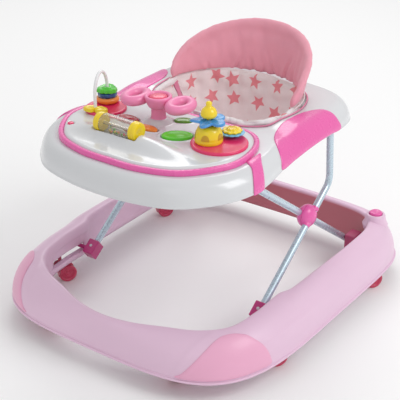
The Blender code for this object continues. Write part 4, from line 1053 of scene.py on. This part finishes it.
# ---- steering wheel ----
# A pink toy wheel: a round hub with two thick ring grips, on a tapered column, and a red horn button
# in the hub that clicks when pressed.
WHEEL_Z, WHEEL_TURN = 0.449, math.radians(6.5)
GRIP_OUT, GRIP_HALF, GRIP_R = 0.0485, (0.0180, 0.0260), 0.0098
WHEEL_PINK = (0.92, 0.27, 0.50)
wheel_pink = plastic("wheel plastic", WHEEL_PINK, roughness=0.30, coat=0.2)


def make_steering():
    """Each grip is a torus whose ring is an oval longer front to back, thickest at its far end. The
    hub is a cup: its rim stands above the grips, and a short skirt below runs to the column."""
    foot = TRAY_TOP_Z + CONSOLE_RISE
    column = turned("steering_post",
                    [(0.0005, foot - 0.004), (0.0150, foot - 0.004), (0.0150, foot + 0.0006),
                     (0.0142, foot + 0.0016), (0.0138, 0.4240), (0.0136, 0.4366), (0.0005, 0.4366)],
                    wheel_pink, (*COLUMN_AT, 0))
    stand_for(column, "seat", "rose", "steering_column")
    hub_piece = turned(
        "steering_hub",
        [(0.0005, 0.4382), (0.0168, 0.4382), (0.0186, 0.4392), (0.0214, 0.4440), (0.0238, 0.4500),
         (0.0254, 0.4560), (0.0257, 0.4584), (0.0250, 0.4602), (0.0234, 0.4611), (0.0214, 0.4610),
         (0.0196, 0.4598), (0.0184, 0.4578), (0.0179, 0.4555), (0.0179, 0.4502), (0.0005, 0.4502)],
        wheel_pink, (*COLUMN_AT, 0))
    stand_for(hub_piece, "steering", "rose", "steering_wheel")
    turn = whole_turn(96)
    around = whole_turn(32)
    cos_a, sin_a = np.cos(around)[:, None], np.sin(around)[:, None]
    for tag, side in (("left", -1), ("right", 1)):
        thick = GRIP_R * (1 - 0.06 * np.cos(turn))
        x = side * (GRIP_OUT + (GRIP_HALF[0] + thick * cos_a) * np.cos(turn))
        y = (GRIP_HALF[1] + thick * cos_a) * np.sin(turn)
        z = WHEEL_Z + 0.97 * thick * sin_a
        grid = np.stack([COLUMN_AT[0] + x * math.cos(WHEEL_TURN) - y * math.sin(WHEEL_TURN),
                         COLUMN_AT[1] + x * math.sin(WHEEL_TURN) + y * math.cos(WHEEL_TURN), z], axis=-1)
        grip = surface("steering_grip_" + tag, grid, wheel_pink, round_rows=True)
        stand_for(grip, "steering", "rose")
    horn = turned("horn_cap",
                  [(0.0005, 0.4530), (0.0168, 0.4530), (0.0171, 0.4545), (0.0168, 0.4575),
                   (0.0158, 0.4590), (0.0130, 0.4602), (0.0080, 0.4610), (0.0005, 0.4613)],
                  plastic("horn plastic", (0.86, 0.085, 0.19), roughness=0.24, coat=0.3), (*COLUMN_AT, 0))
    stand_for(horn, "horn", "red", "horn_button")


make_steering()


# ---- windmill and sunflower ----
# On the right deck: a yellow domed tower with three arches and a blue propeller that spins under its
# cap, and a yellow sunflower over a ring of light blue petals.
MILL_AT, FLOWER_AT = (0.113, -0.139), (0.133, -0.0945)
BLUE = (0.075, 0.33, 0.72)


def make_windmill():
    tower = turned("mill_tower",
                   [(0.0005, 0.0), (0.0248, 0.0), (0.0256, 0.0015), (0.0256, 0.0060), (0.0250, 0.0078),
                    (0.0253, 0.0092), (0.0250, 0.0130), (0.0232, 0.0200), (0.0205, 0.0255),
                    (0.0170, 0.0295), (0.0130, 0.0315), (0.0040, 0.0322), (0.0040, 0.0470),
                    (0.0128, 0.0474), (0.0146, 0.0494), (0.0150, 0.0524), (0.0142, 0.0572),
                    (0.0120, 0.0614), (0.0088, 0.0644), (0.0058, 0.0662), (0.0050, 0.0682),
                    (0.0057, 0.0712), (0.0052, 0.0740), (0.0034, 0.0756), (0.0005, 0.0762)],
                   yellow, (*MILL_AT, DECK_Z), around=72)
    stand_for(tower, "seat", "yellow", "windmill_tower")
    dark = plastic("arch plastic", (0.62, 0.36, 0.01), roughness=0.3, coat=0.2)
    for k in range(5):
        middle = math.radians(72 * k - 70)
        width, height = np.meshgrid(np.linspace(-1, 1, 13), np.linspace(0, 1, 9))
        span = 0.30 * np.sqrt(np.clip(1 - (height * 0.98) ** 2.6, 0, 1)) * width
        z = 0.0088 + 0.0112 * height
        wall = [(0.0078, 0.0250), (0.0092, 0.0253), (0.0130, 0.0250), (0.0200, 0.0232), (0.0255, 0.0205)]
        radius = np.interp(z, *np.transpose(wall)) + 0.0002
        spots = polar(MILL_AT, radius, middle + span, DECK_Z + z)
        inner = spots - 0.0012 * polar((0, 0), 1.0, middle + span, 0.0)
        arch = surface(f"mill_arch_{k + 1}", np.concatenate([spots, inner[::-1]]), dark, round_rows=True,
                       round_columns=False)
        stand_for(arch, "seat", "yellow")
    turn = whole_turn(200)
    blade = 0.0195 + 0.0145 * np.abs(np.cos(2.5 * turn)) ** 1.4
    slope = 0.0016 * np.sin(5 * turn)
    steps = ((0.24, 0.0366), (0.6, 0.0364), (0.9, 0.0368), (0.985, 0.0378), (1.0, 0.0392), (0.99, 0.0410),
             (0.93, 0.0424), (0.80, 0.0418), (0.5, 0.0424), (0.24, 0.0434))
    grid = [
        polar(MILL_AT, blade * share, turn, DECK_Z + z + slope * min(1, share * 1.2)) for share, z in steps
    ]
    propeller = surface("mill_propeller", np.stack(grid),
                        plastic("blue plastic", BLUE, roughness=0.24, coat=0.35),
                        round_rows=True)
    stand_for(propeller, "windmill", "blue", "propeller")


def make_sunflower():
    turn = whole_turn(160)
    petal = 1 + 0.085 * np.abs(np.cos(6 * turn)) ** 0.7
    lower = turned("flower_petals",
                   [(0.0005, 0.0005), (0.0080, 0.0010), (0.0100, 0.0050), (0.0205, 0.0062),
                    (0.0214, 0.0072), (0.0208, 0.0084), (0.0150, 0.0088), (0.0005, 0.0088)],
                   plastic("petal plastic", (0.16, 0.50, 0.80), roughness=0.26, coat=0.3),
                   (*FLOWER_AT, DECK_Z), around=160, waves=petal)
    stand_for(lower, "flower", "yellow", "sunflower")
    face = turned("flower_face",
                  [(0.0005, 0.0089), (0.0165, 0.0090), (0.0178, 0.0100), (0.0176, 0.0116),
                   (0.0160, 0.0128), (0.0118, 0.0126), (0.0112, 0.0132), (0.0100, 0.0146),
                   (0.0070, 0.0156), (0.0005, 0.0160)],
                  yellow, (*FLOWER_AT, DECK_Z), around=160, waves=1 + 0.05 * np.cos(10 * turn))
    stand_for(face, "flower", "yellow")
    seeds_at = []
    for k in range(26):
        reach, angle = 0.0019 * math.sqrt(k + 0.5), 2.39996 * k
        if reach < 0.0094:
            seeds_at.append((FLOWER_AT[0] + reach * math.cos(angle), FLOWER_AT[1] + reach * math.sin(angle),
                             DECK_Z + 0.0158 - 9.0 * reach**2))
    seeds = beads("flower_seeds", seeds_at, 0.0009,
                  plastic("seed plastic", (0.75, 0.42, 0.02), roughness=0.3), rings=6, around=10)
    stand_for(seeds, "flower", "yellow")


make_windmill()
make_sunflower()


# ---- seat cloth ----
# A bucket sewn from lightly padded polyester with a print of small stars. It hangs from the opening's
# edge, has two leg holes, a white gathered elastic edge and a pink bound edge.
SEAT_TOP_Z, SEAT_FLOOR_Z = 0.4040, 0.2625
LEG_HOLE = (0.066, 0.052, 0.040)  # x, y, radius
LEG_HOLE_TOP_Z = 0.325
BUCKET_COLUMNS, BUCKET_ROWS = 260, 46
BINDING_PINK = (0.86, 0.30, 0.46)
STAR_GROUND, STAR_INK = (0.98, 0.89, 0.89), (0.93, 0.32, 0.36)
COLLAR_HALF = (0.1335, 0.1385)  # the cloth behind the opening runs up to the backrest
TAPE_ROWS, TAPE_LIFT, TAPE_SPAN = 22, 0.0020, np.linspace(-2.0, 2.0, 7)[None, :]
BUCKET_DROP = (0.0, 0.30, 0.60, 0.85, 1.0)
BUCKET_SHARE = (1.0, 0.97, 0.86, 0.68, 0.45)


def build_weave_group():
    """Plain weave: two sets of threads, each a sine across its own direction, crossed as |a| against
    |b|. The thread tops are painted a little lighter and the gaps darker, as painted light and shade in
    the colour, and a slow noise varies the dye."""
    group, given, out = node_group(
        "plain weave",
        [
            ("Vector", "NodeSocketVector", (0, 0, 0)),
            ("Colour", "NodeSocketColor", (0.8, 0.8, 0.8, 1)),
            ("Threads", "NodeSocketFloat", 1400.0),
            ("Depth", "NodeSocketFloat", 0.00012),
        ],
        [("Colour", "NodeSocketColor"), ("Roughness", "NodeSocketFloat"), ("Normal", "NodeSocketVector")],
    )
    nodes, links = group.nodes, group.links
    maths = maths_in(group)

    def ranged(value, low, high):
        made = nodes.new("ShaderNodeMapRange")
        made.inputs["To Min"].default_value = low
        made.inputs["To Max"].default_value = high
        links.new(value, made.inputs["Value"])
        return made.outputs["Result"]

    heights = []
    for direction in ("X", "Y"):
        wave = nodes.new("ShaderNodeTexWave")
        wave.bands_direction = direction
        wave.inputs["Distortion"].default_value = 0.6
        wave.inputs["Detail"].default_value = 1.0
        links.new(given.outputs["Vector"], wave.inputs["Vector"])
        links.new(given.outputs["Threads"], wave.inputs["Scale"])
        heights.append(wave.outputs["Fac"])
    crossed = maths("MULTIPLY", *heights)
    tone = ranged(noise_in(group, given.outputs["Vector"], 28.0, 5.0), 0.90, 1.04)
    # The colour is the dye's slow noise times painted shade: darker in the gaps between threads, a little
    # lighter on their tops.
    dye_and_gap_shade = nodes.new("ShaderNodeVectorMath")
    dye_and_gap_shade.operation = "SCALE"
    links.new(given.outputs["Colour"], dye_and_gap_shade.inputs[0])
    links.new(maths("MULTIPLY", tone, ranged(crossed, 0.90, 1.04)), dye_and_gap_shade.inputs["Scale"])
    links.new(dye_and_gap_shade.outputs[0], out.inputs["Colour"])
    links.new(ranged(crossed, 0.92, 0.74), out.inputs["Roughness"])
    links.new(bump_in(group, maths("MULTIPLY", crossed, given.outputs["Depth"])), out.inputs["Normal"])
    return group


plain_weave = build_weave_group()


def cloth(name, colour, threads=1400.0, depth=0.00012, sheen=0.25, lay=None):
    """Woven cloth with a soft sheen. With `lay`, the weave follows that attribute of the piece."""
    made = bpy.data.materials.get(name)
    if made:
        return made
    made = bpy.data.materials.new(name)
    made.use_nodes = True
    nodes, links = made.node_tree.nodes, made.node_tree.links
    shader = nodes["Principled BSDF"]
    woven = nodes.new("ShaderNodeGroup")
    woven.name = "woven"
    woven.node_tree = plain_weave
    woven.inputs["Colour"].default_value = (*colour, 1)
    woven.inputs["Threads"].default_value = threads
    woven.inputs["Depth"].default_value = depth
    if lay:
        place = nodes.new("ShaderNodeAttribute")
        place.name = "lay"
        place.attribute_name = lay
        links.new(place.outputs["Vector"], woven.inputs["Vector"])
    else:
        links.new(nodes.new("ShaderNodeTexCoord").outputs["Object"], woven.inputs["Vector"])
    for label, socket in (("Colour", "Base Color"), ("Roughness", "Roughness"), ("Normal", "Normal")):
        links.new(woven.outputs[label], shader.inputs[socket])
    shader.inputs["Sheen Weight"].default_value = sheen
    shader.inputs["Sheen Roughness"].default_value = 0.4
    shader.inputs["Sheen Tint"].default_value = (1.0, 0.9, 0.92, 1)
    shader.inputs["Specular IOR Level"].default_value = 0.25
    return made


def build_star_group():
    """A print of five-pointed stars. Each cell of a jittered grid holds one star, turned by a random
    angle. The angle about the cell's centre is folded into one tenth of a turn, where the star's edge
    is the straight line from a tip to a valley; a point is printed if it lies inside that line."""
    group, given, out = node_group(
        "star print",
        [("Vector", "NodeSocketVector", (0, 0, 0)), ("Cells", "NodeSocketFloat", 20.0),
         ("Tip", "NodeSocketFloat", 0.015)],
        [("Mask", "NodeSocketFloat")],
    )
    nodes, links = group.nodes, group.links
    maths = maths_in(group)
    cell = nodes.new("ShaderNodeTexVoronoi")
    cell.voronoi_dimensions = "2D"
    cell.inputs["Randomness"].default_value = 0.35
    links.new(given.outputs["Vector"], cell.inputs["Vector"])
    links.new(given.outputs["Cells"], cell.inputs["Scale"])
    away = nodes.new("ShaderNodeVectorMath")
    away.operation = "SUBTRACT"
    links.new(given.outputs["Vector"], away.inputs[0])
    links.new(cell.outputs["Position"], away.inputs[1])
    parts = nodes.new("ShaderNodeSeparateXYZ")
    links.new(away.outputs[0], parts.inputs[0])
    spin = nodes.new("ShaderNodeSeparateColor")
    links.new(cell.outputs["Color"], spin.inputs[0])
    reach = maths("SQRT", maths("ADD", maths("MULTIPLY", parts.outputs[0], parts.outputs[0]),
                                maths("MULTIPLY", parts.outputs[1], parts.outputs[1])))
    angle = maths("ADD", maths("ARCTAN2", parts.outputs[1], parts.outputs[0]),
                  maths("MULTIPLY", spin.outputs[0], 2 * math.pi))
    fifth = maths("FLOORED_MODULO", angle, 2 * math.pi / 5)
    fold = maths("ABSOLUTE", maths("SUBTRACT", fifth, math.pi / 5))
    from_tip = maths("SUBTRACT", math.pi / 5, fold)
    x = maths("MULTIPLY", reach, maths("COSINE", from_tip))
    y = maths("MULTIPLY", reach, maths("SINE", from_tip))
    valley = 0.45
    edge_x = valley * math.cos(math.pi / 5) - 1.0
    edge_y = valley * math.sin(math.pi / 5)
    past_tip = maths("SUBTRACT", x, given.outputs["Tip"])
    inside = maths("SUBTRACT", maths("MULTIPLY", y, edge_x), maths("MULTIPLY", past_tip, edge_y))
    soft = nodes.new("ShaderNodeMapRange")
    soft.inputs["From Min"].default_value = -0.00012
    soft.inputs["From Max"].default_value = 0.00022
    links.new(inside, soft.inputs["Value"])
    links.new(soft.outputs["Result"], out.inputs["Mask"])
    return group


def star_cloth():
    made = cloth("star cloth", STAR_GROUND, lay="lay", sheen=0.15)
    nodes, links = made.node_tree.nodes, made.node_tree.links
    stars = nodes.new("ShaderNodeGroup")
    stars.node_tree = build_star_group()
    stars.inputs["Cells"].default_value = 19.5
    stars.inputs["Tip"].default_value = 0.0180
    links.new(nodes["lay"].outputs["Vector"], stars.inputs["Vector"])
    print_mix = nodes.new("ShaderNodeMix")
    print_mix.data_type = "RGBA"
    print_mix.inputs[6].default_value = (*STAR_GROUND, 1)
    print_mix.inputs[7].default_value = (*STAR_INK, 1)
    links.new(stars.outputs["Mask"], print_mix.inputs[0])
    links.new(print_mix.outputs[2], nodes["woven"].inputs["Colour"])
    return made


def rumple(u, v, seed, waves=9, low=2.0, high=9.0):
    """Smooth unevenness between -1 and 1: a sum of sines with seeded directions and phases."""
    rng = np.random.default_rng(seed)
    total = np.zeros(np.broadcast(u, v).shape)
    for _ in range(waves):
        pace, way, phase = rng.uniform(low, high), rng.uniform(0, math.pi), rng.uniform(0, 2 * math.pi)
        total = total + np.sin(pace * (u * math.cos(way) + v * math.sin(way)) + phase)
    return total / waves**0.5 / 1.4


def bucket_height(x, y):
    """Height of the bucket's wall at a place: the share of the opening's outline, looked up in the drop."""
    at = np.arctan2(y - SEAT_CENTRE[1], x - SEAT_CENTRE[0])
    share = np.hypot(x - SEAT_CENTRE[0], y - SEAT_CENTRE[1]) / (hole_outline(at) - 0.0035)
    drop = np.interp(share, BUCKET_SHARE[::-1], BUCKET_DROP[::-1])
    return SEAT_TOP_Z - drop * (SEAT_TOP_Z - SEAT_FLOOR_Z)


def make_seat_cloth():
    at = whole_turn(BUCKET_COLUMNS, -math.pi / 2)
    hole = hole_outline(at) - 0.0035
    drops = np.concatenate([np.linspace(0, 1, BUCKET_ROWS), np.ones(12)])
    shares = np.concatenate([np.interp(drops[:BUCKET_ROWS], BUCKET_DROP, BUCKET_SHARE),
                             np.linspace(0.42, 0.02, 12)])
    down = np.concatenate([[0], np.cumsum(np.hypot(np.diff(drops) * 0.14, np.diff(shares) * 0.13))])
    rows, lay = [], []
    arc = np.concatenate([[0], np.cumsum(np.hypot(np.diff(hole * np.cos(at)), np.diff(hole * np.sin(at))))])
    from_rear = arc - arc[BUCKET_COLUMNS // 2]
    for drop, share, depth in zip(drops, shares, down):
        hanging = 0.0056 * np.abs(np.sin(10 * at + 2.2 * np.sin(3 * at))) ** 1.4
        creased = 0.0034 * rumple(arc * 22, depth * 26, 3)
        folds = hanging * math.exp(-((depth - 0.016) / 0.070) ** 2)
        folds = folds + creased * min(1, depth / 0.02) * (1 if share > 0.3 else share / 0.3)
        radius = hole * share - folds
        lift = 0.0015 * rumple(arc * 7, depth * 9, 8) * min(1, depth / 0.03) * min(1, share / 0.3)
        z = SEAT_TOP_Z - drop * (SEAT_TOP_Z - SEAT_FLOOR_Z) + lift
        rows.append(polar(SEAT_CENTRE, radius, at, z))
        lay.append(np.stack(np.broadcast_arrays(from_rear * (0.35 + 0.65 * share), depth, 0.0), axis=-1))
    collar, collar_lay = [], []
    behind = smooth_step(np.sin(at), -0.05, 0.20)
    reach = 1 / np.hypot(np.cos(at) / COLLAR_HALF[0], np.sin(at) / COLLAR_HALF[1])
    for rise in (1.0, 0.75, 0.5, 0.25):
        radius = hole + (reach - hole).clip(0.001) * rise * behind + 0.0004 * rise
        height = SEAT_TOP_Z + (0.0060 * behind + 0.0003) * rise
        collar.append(polar(SEAT_CENTRE, radius, at, height))
        collar_lay.append(np.stack(np.broadcast_arrays(from_rear, -0.012 * rise, 0.0), axis=-1))
    grid, lay = np.stack(collar + rows), np.stack(collar_lay + lay)
    for side in (-1, 1):
        away = np.stack([grid[..., 0] - side * LEG_HOLE[0], grid[..., 1] - LEG_HOLE[1]], axis=-1)
        gap = np.linalg.norm(away, axis=-1)
        low = grid[..., 2] < LEG_HOLE_TOP_Z
        snap = low & (np.abs(gap - LEG_HOLE[2]) < 0.0022)
        pulled = grid[..., :2] + away * ((LEG_HOLE[2] / np.maximum(gap, 1e-6)) - 1)[..., None]
        grid[..., :2] = np.where(snap[..., None], pulled, grid[..., :2])
    middle = (grid[:-1] + grid[1:]) / 2
    middle = (middle + np.roll(middle, -1, axis=1)) / 2
    gap = np.hypot(np.abs(middle[..., 0]) - LEG_HOLE[0], middle[..., 1] - LEG_HOLE[1])
    cut = (gap < LEG_HOLE[2]) & (middle[..., 2] < LEG_HOLE_TOP_Z)
    bucket = surface("seat_cloth", grid, star_cloth(), keep=~cut, sharp=180, lay=lay)
    thicken(bucket, 0.0022)
    stand_for(bucket, "seat", "star_cloth", "seat_fabric")
    make_side_tapes(grid)


def make_side_tapes(grid):
    """Pink tapes on the cloth, from the ends of the hood downwards: strips of the cloth's own
    surface, found between its rows and columns and lifted off it."""
    pink_tape = cloth("pink tape", BINDING_PINK)
    for tag, start, end in (("left", 172, 164), ("right", 8, 16)):
        down = np.linspace(0, 1, 40)[:, None]
        row = 4 + TAPE_ROWS * down + 0 * TAPE_SPAN
        column = ((start + (end - start) * down + 90) % 360) * grid.shape[1] / 360 + TAPE_SPAN
        r, c = np.floor(row).astype(int), np.floor(column).astype(int)
        u, v = (row - r)[..., None], (column - c)[..., None]
        c, beside = c % grid.shape[1], (c + 1) % grid.shape[1]
        strip = (grid[r, c] * (1 - v) + grid[r, beside] * v) * (1 - u)
        strip += (grid[r + 1, c] * (1 - v) + grid[r + 1, beside] * v) * u
        inwards = np.append(SEAT_CENTRE, 0) - strip * (1, 1, 0)
        inwards /= np.linalg.norm(inwards, axis=-1, keepdims=True)
        tape = surface("side_tape_" + tag, strip + TAPE_LIFT * (inwards + (0, 0, 0.6)), pink_tape,
                       sharp=180)
        thicken(tape, 0.0012)
        stand_for(tape, "seat", "star_cloth")


make_seat_cloth()


def edge_cord(name, path, radius, look, squash=1.0, closed=True):
    """A sewn edge: a round section carried along a path, square to the upright and to the path."""
    along = np.roll(path, -1, axis=0) - np.roll(path, 1, axis=0)
    if not closed:
        along[0], along[-1] = along[1], along[-2]
    along /= np.linalg.norm(along, axis=1, keepdims=True)
    across = np.cross(along, (0, 0, 1.0))
    across /= np.linalg.norm(across, axis=1, keepdims=True)
    up = np.cross(across, along)
    section = circle(1.0, 14)
    radius = np.broadcast_to(radius, len(path))[:, None, None]
    spread = section[:, :1] * across[:, None] + squash * section[:, 1:] * up[:, None]
    grid = path[:, None] + radius * spread
    made = surface(name, grid, look, round_rows=closed, caps=not closed)
    stand_for(made, "seat", "star_cloth")
    return made


def make_seat_edges():
    """The gathers are lumps, |sin(n a)|, in the elastic edge's thickness."""
    pink_binding = cloth("pink binding", BINDING_PINK)
    white_cloth = cloth("white cloth", (0.95, 0.91, 0.92), sheen=0.1)
    at = np.linspace(math.radians(-196), math.radians(16), 700)
    ends = smooth_step(at, at[0], at[0] + 0.20) * smooth_step(at, at[-1], at[-1] - 0.20)
    ring = hole_outline(at) - 0.0070 - 0.0012 * np.sin(19 * at)
    height = 0.4003 + 0.0014 * np.sin(13 * at + 1)
    path = polar(SEAT_CENTRE, ring, at, height)
    lumps = 0.16 * np.abs(np.sin(37 * at + 2.6 * np.sin(5 * at)))
    swings = 0.10 * np.sin(11 * at + 2 * np.sin(3 * at))
    gathers = 0.0064 * (0.78 + lumps + swings) * (0.25 + 0.75 * ends)
    edge = edge_cord("seat_gathers", path, gathers, white_cloth, squash=1.15, closed=False)
    at = whole_turn(640, -math.pi)
    ring = hole_outline(at) + 0.0022
    path = polar(SEAT_CENTRE, ring, at, plate_height(at) + 0.0012)
    edge_cord("seat_binding", path, 0.0015, pink_binding)
    angle = whole_turn(120)
    for tag, side in (("left", -1), ("right", 1)):
        x = side * LEG_HOLE[0] + LEG_HOLE[2] * np.cos(angle)
        y = LEG_HOLE[1] + LEG_HOLE[2] * np.sin(angle)
        edge_cord("leg_binding_" + tag, np.column_stack([x, y, bucket_height(x, y)]), 0.0030, pink_binding)


make_seat_edges()


# ---- backrest ----
# A foam hood in salmon polyester round the rear of the seat. Its cover is sewn from an inner and an
# outer panel over a thick rolled edge, and puckers where it is drawn down at its foot.
BACK_CENTRE_Y, BACK_A, BACK_B = 0.092, 0.141, 0.134
BACK_FOOT_Z, BACK_TOP_Z = 0.4033, 0.525
BACK_LEAN, BACK_THICK, BACK_REACH = 0.022, 0.026, math.radians(92)
BACK_PINK = (0.96, 0.42, 0.52)
SWELL_ROOM, SWELL_VOXEL, SWELL_PRESSURE, SWELL_MOST = 0.0045, 0.0045, 4.0, 0.0060
SWELL_FRAMES, EASE_STEPS = 20, 14
# creases: degrees from the rear, lean, height of the fade, depth
CREASES = [
    (-52, -0.35, 0.034, 0.0034), (-30, 0.45, 0.050, 0.0048), (-12, -0.30, 0.048, 0.0046),
    (-2, 0.10, 0.030, 0.0056), (10, -0.40, 0.066, 0.0052), (20, 0.50, 0.074, 0.0058),
    (33, 0.30, 0.052, 0.0044), (47, -0.25, 0.036, 0.0036),
]


def backrest_grid(shrink):
    """Sections of a superellipse carried round the seat: the top falls as a power of the cosine of the
    angle from the rear, and the hood leans outwards as it rises. The top is rolled: it is thicker by
    half than the panel below it."""
    turn = np.linspace(-BACK_REACH, BACK_REACH, 120)[:, None]
    around = whole_turn(64)[None, :]
    span = BACK_TOP_Z - BACK_FOOT_Z - 0.012
    top = BACK_FOOT_Z + 0.012 + span * np.clip(np.cos(turn * 88 / 92), 0, 1) ** 0.62 - shrink
    foot = BACK_FOOT_Z + shrink
    half = np.maximum((top - foot) / 2, 0.004)
    thick = BACK_THICK / 2 * (0.55 + 0.45 * np.minimum(1, half / 0.03)) - shrink
    rolled = 0.58 + 0.86 * smooth_step(np.sin(around), 0.35, 0.75) * smooth_step(half, 0.012, 0.030)
    rolled = rolled + 0.62 * smooth_step(half, 0.034, 0.012)
    across = thick * rolled * np.sign(np.cos(around)) * np.abs(np.cos(around)) ** 0.62
    z = (top + foot) / 2 + half * np.sign(np.sin(around)) * np.abs(np.sin(around)) ** 0.62
    across = across + BACK_LEAN * (z - BACK_FOOT_Z) / (BACK_TOP_Z - BACK_FOOT_Z)
    x, y = (BACK_A + across) * np.sin(turn), BACK_CENTRE_Y + (BACK_B + across) * np.cos(turn)
    return np.stack([x, y, z], axis=-1)


def swell(piece, voxel, pressure, most):
    """Swells a closed mesh as a stuffed cover: Blender's cloth, held along its foot, with air inside.
    No point moves further than `most`. The result is then eased to lose the steps of its voxels."""
    bpy.context.view_layer.objects.active = piece
    piece.select_set(True)
    remesh = piece.modifiers.new("Remesh", "REMESH")
    remesh.mode = "VOXEL"
    remesh.voxel_size = voxel
    bpy.ops.object.modifier_apply(modifier=remesh.name)
    rest = points_of(piece)
    held = piece.vertex_groups.new(name="held")
    held.add(np.flatnonzero(rest[:, 2] < BACK_FOOT_Z + 0.009).tolist(), 1.0, "REPLACE")
    step = piece.modifiers.new("Cloth", "CLOTH")
    step.settings.quality = 6
    step.settings.mass = 0.2
    step.settings.tension_stiffness = step.settings.compression_stiffness = 12
    step.settings.bending_stiffness = 2.0
    step.settings.use_pressure = True
    step.settings.uniform_pressure_force = pressure
    step.settings.effector_weights.gravity = 0
    step.settings.vertex_group_mass = "held"
    step.collision_settings.use_collision = False
    step.point_cache.frame_start, step.point_cache.frame_end = 1, 24
    scene = bpy.context.scene
    for moment in range(1, SWELL_FRAMES + 1):
        scene.frame_set(moment)
    evaluated = piece.evaluated_get(bpy.context.evaluated_depsgraph_get())
    shift = points_of(evaluated) - rest
    far = np.linalg.norm(shift, axis=1, keepdims=True)
    shift *= np.minimum(1, most / np.maximum(far, 1e-9))
    piece.modifiers.remove(step)
    piece.vertex_groups.clear()
    move_points(piece, rest + shift)
    scene.frame_set(1)
    ease = piece.modifiers.new("Ease", "SMOOTH")
    ease.factor, ease.iterations = 0.5, EASE_STEPS
    bpy.ops.object.modifier_apply(modifier=ease.name)


def pucker(piece):
    """Creases that fan up from the foot of the inner face: valleys along leaning lines, which widen
    upwards and fade out at each one's own height, between low swells of the cover."""
    co, normal = points_of(piece), points_of(piece, "normal")
    turn = np.arctan2(co[:, 0], co[:, 1] - BACK_CENTRE_Y)
    rise = co[:, 2] - BACK_FOOT_Z
    inward = (normal[:, 0] * np.sin(turn) + normal[:, 1] * np.cos(turn)) < -0.3
    total = np.zeros(len(co))
    for middle, lean, reach, depth in CREASES:
        line = np.radians(middle) + lean * rise / 0.14
        away = (turn - line) * 0.13
        fade = depth * smooth_step(rise, reach, 0.006)
        total -= fade * np.exp(-((away / (0.0030 + 0.05 * rise.clip(0))) ** 2))
        total += 0.5 * fade * np.exp(-(((np.abs(away) - 0.0075) / 0.0045) ** 2))
    total = total * inward + 0.0006 * rumple(turn * 4, rise * 40, 12)
    move_points(piece, co + normal * total[:, None])


def make_backrest():
    grid = backrest_grid(SWELL_ROOM)
    back = surface("backrest_pad", grid, cloth("backrest cloth", BACK_PINK, sheen=0.30), caps=True,
                   sharp=180)
    swell(back, SWELL_VOXEL, SWELL_PRESSURE, SWELL_MOST)
    pucker(back)
    smoother = back.modifiers.new("Fine", "SUBSURF")
    smoother.levels = smoother.render_levels = 1
    back.data.shade_smooth()
    stand_for(back, "seat", "back_cloth", "backrest")


make_backrest()
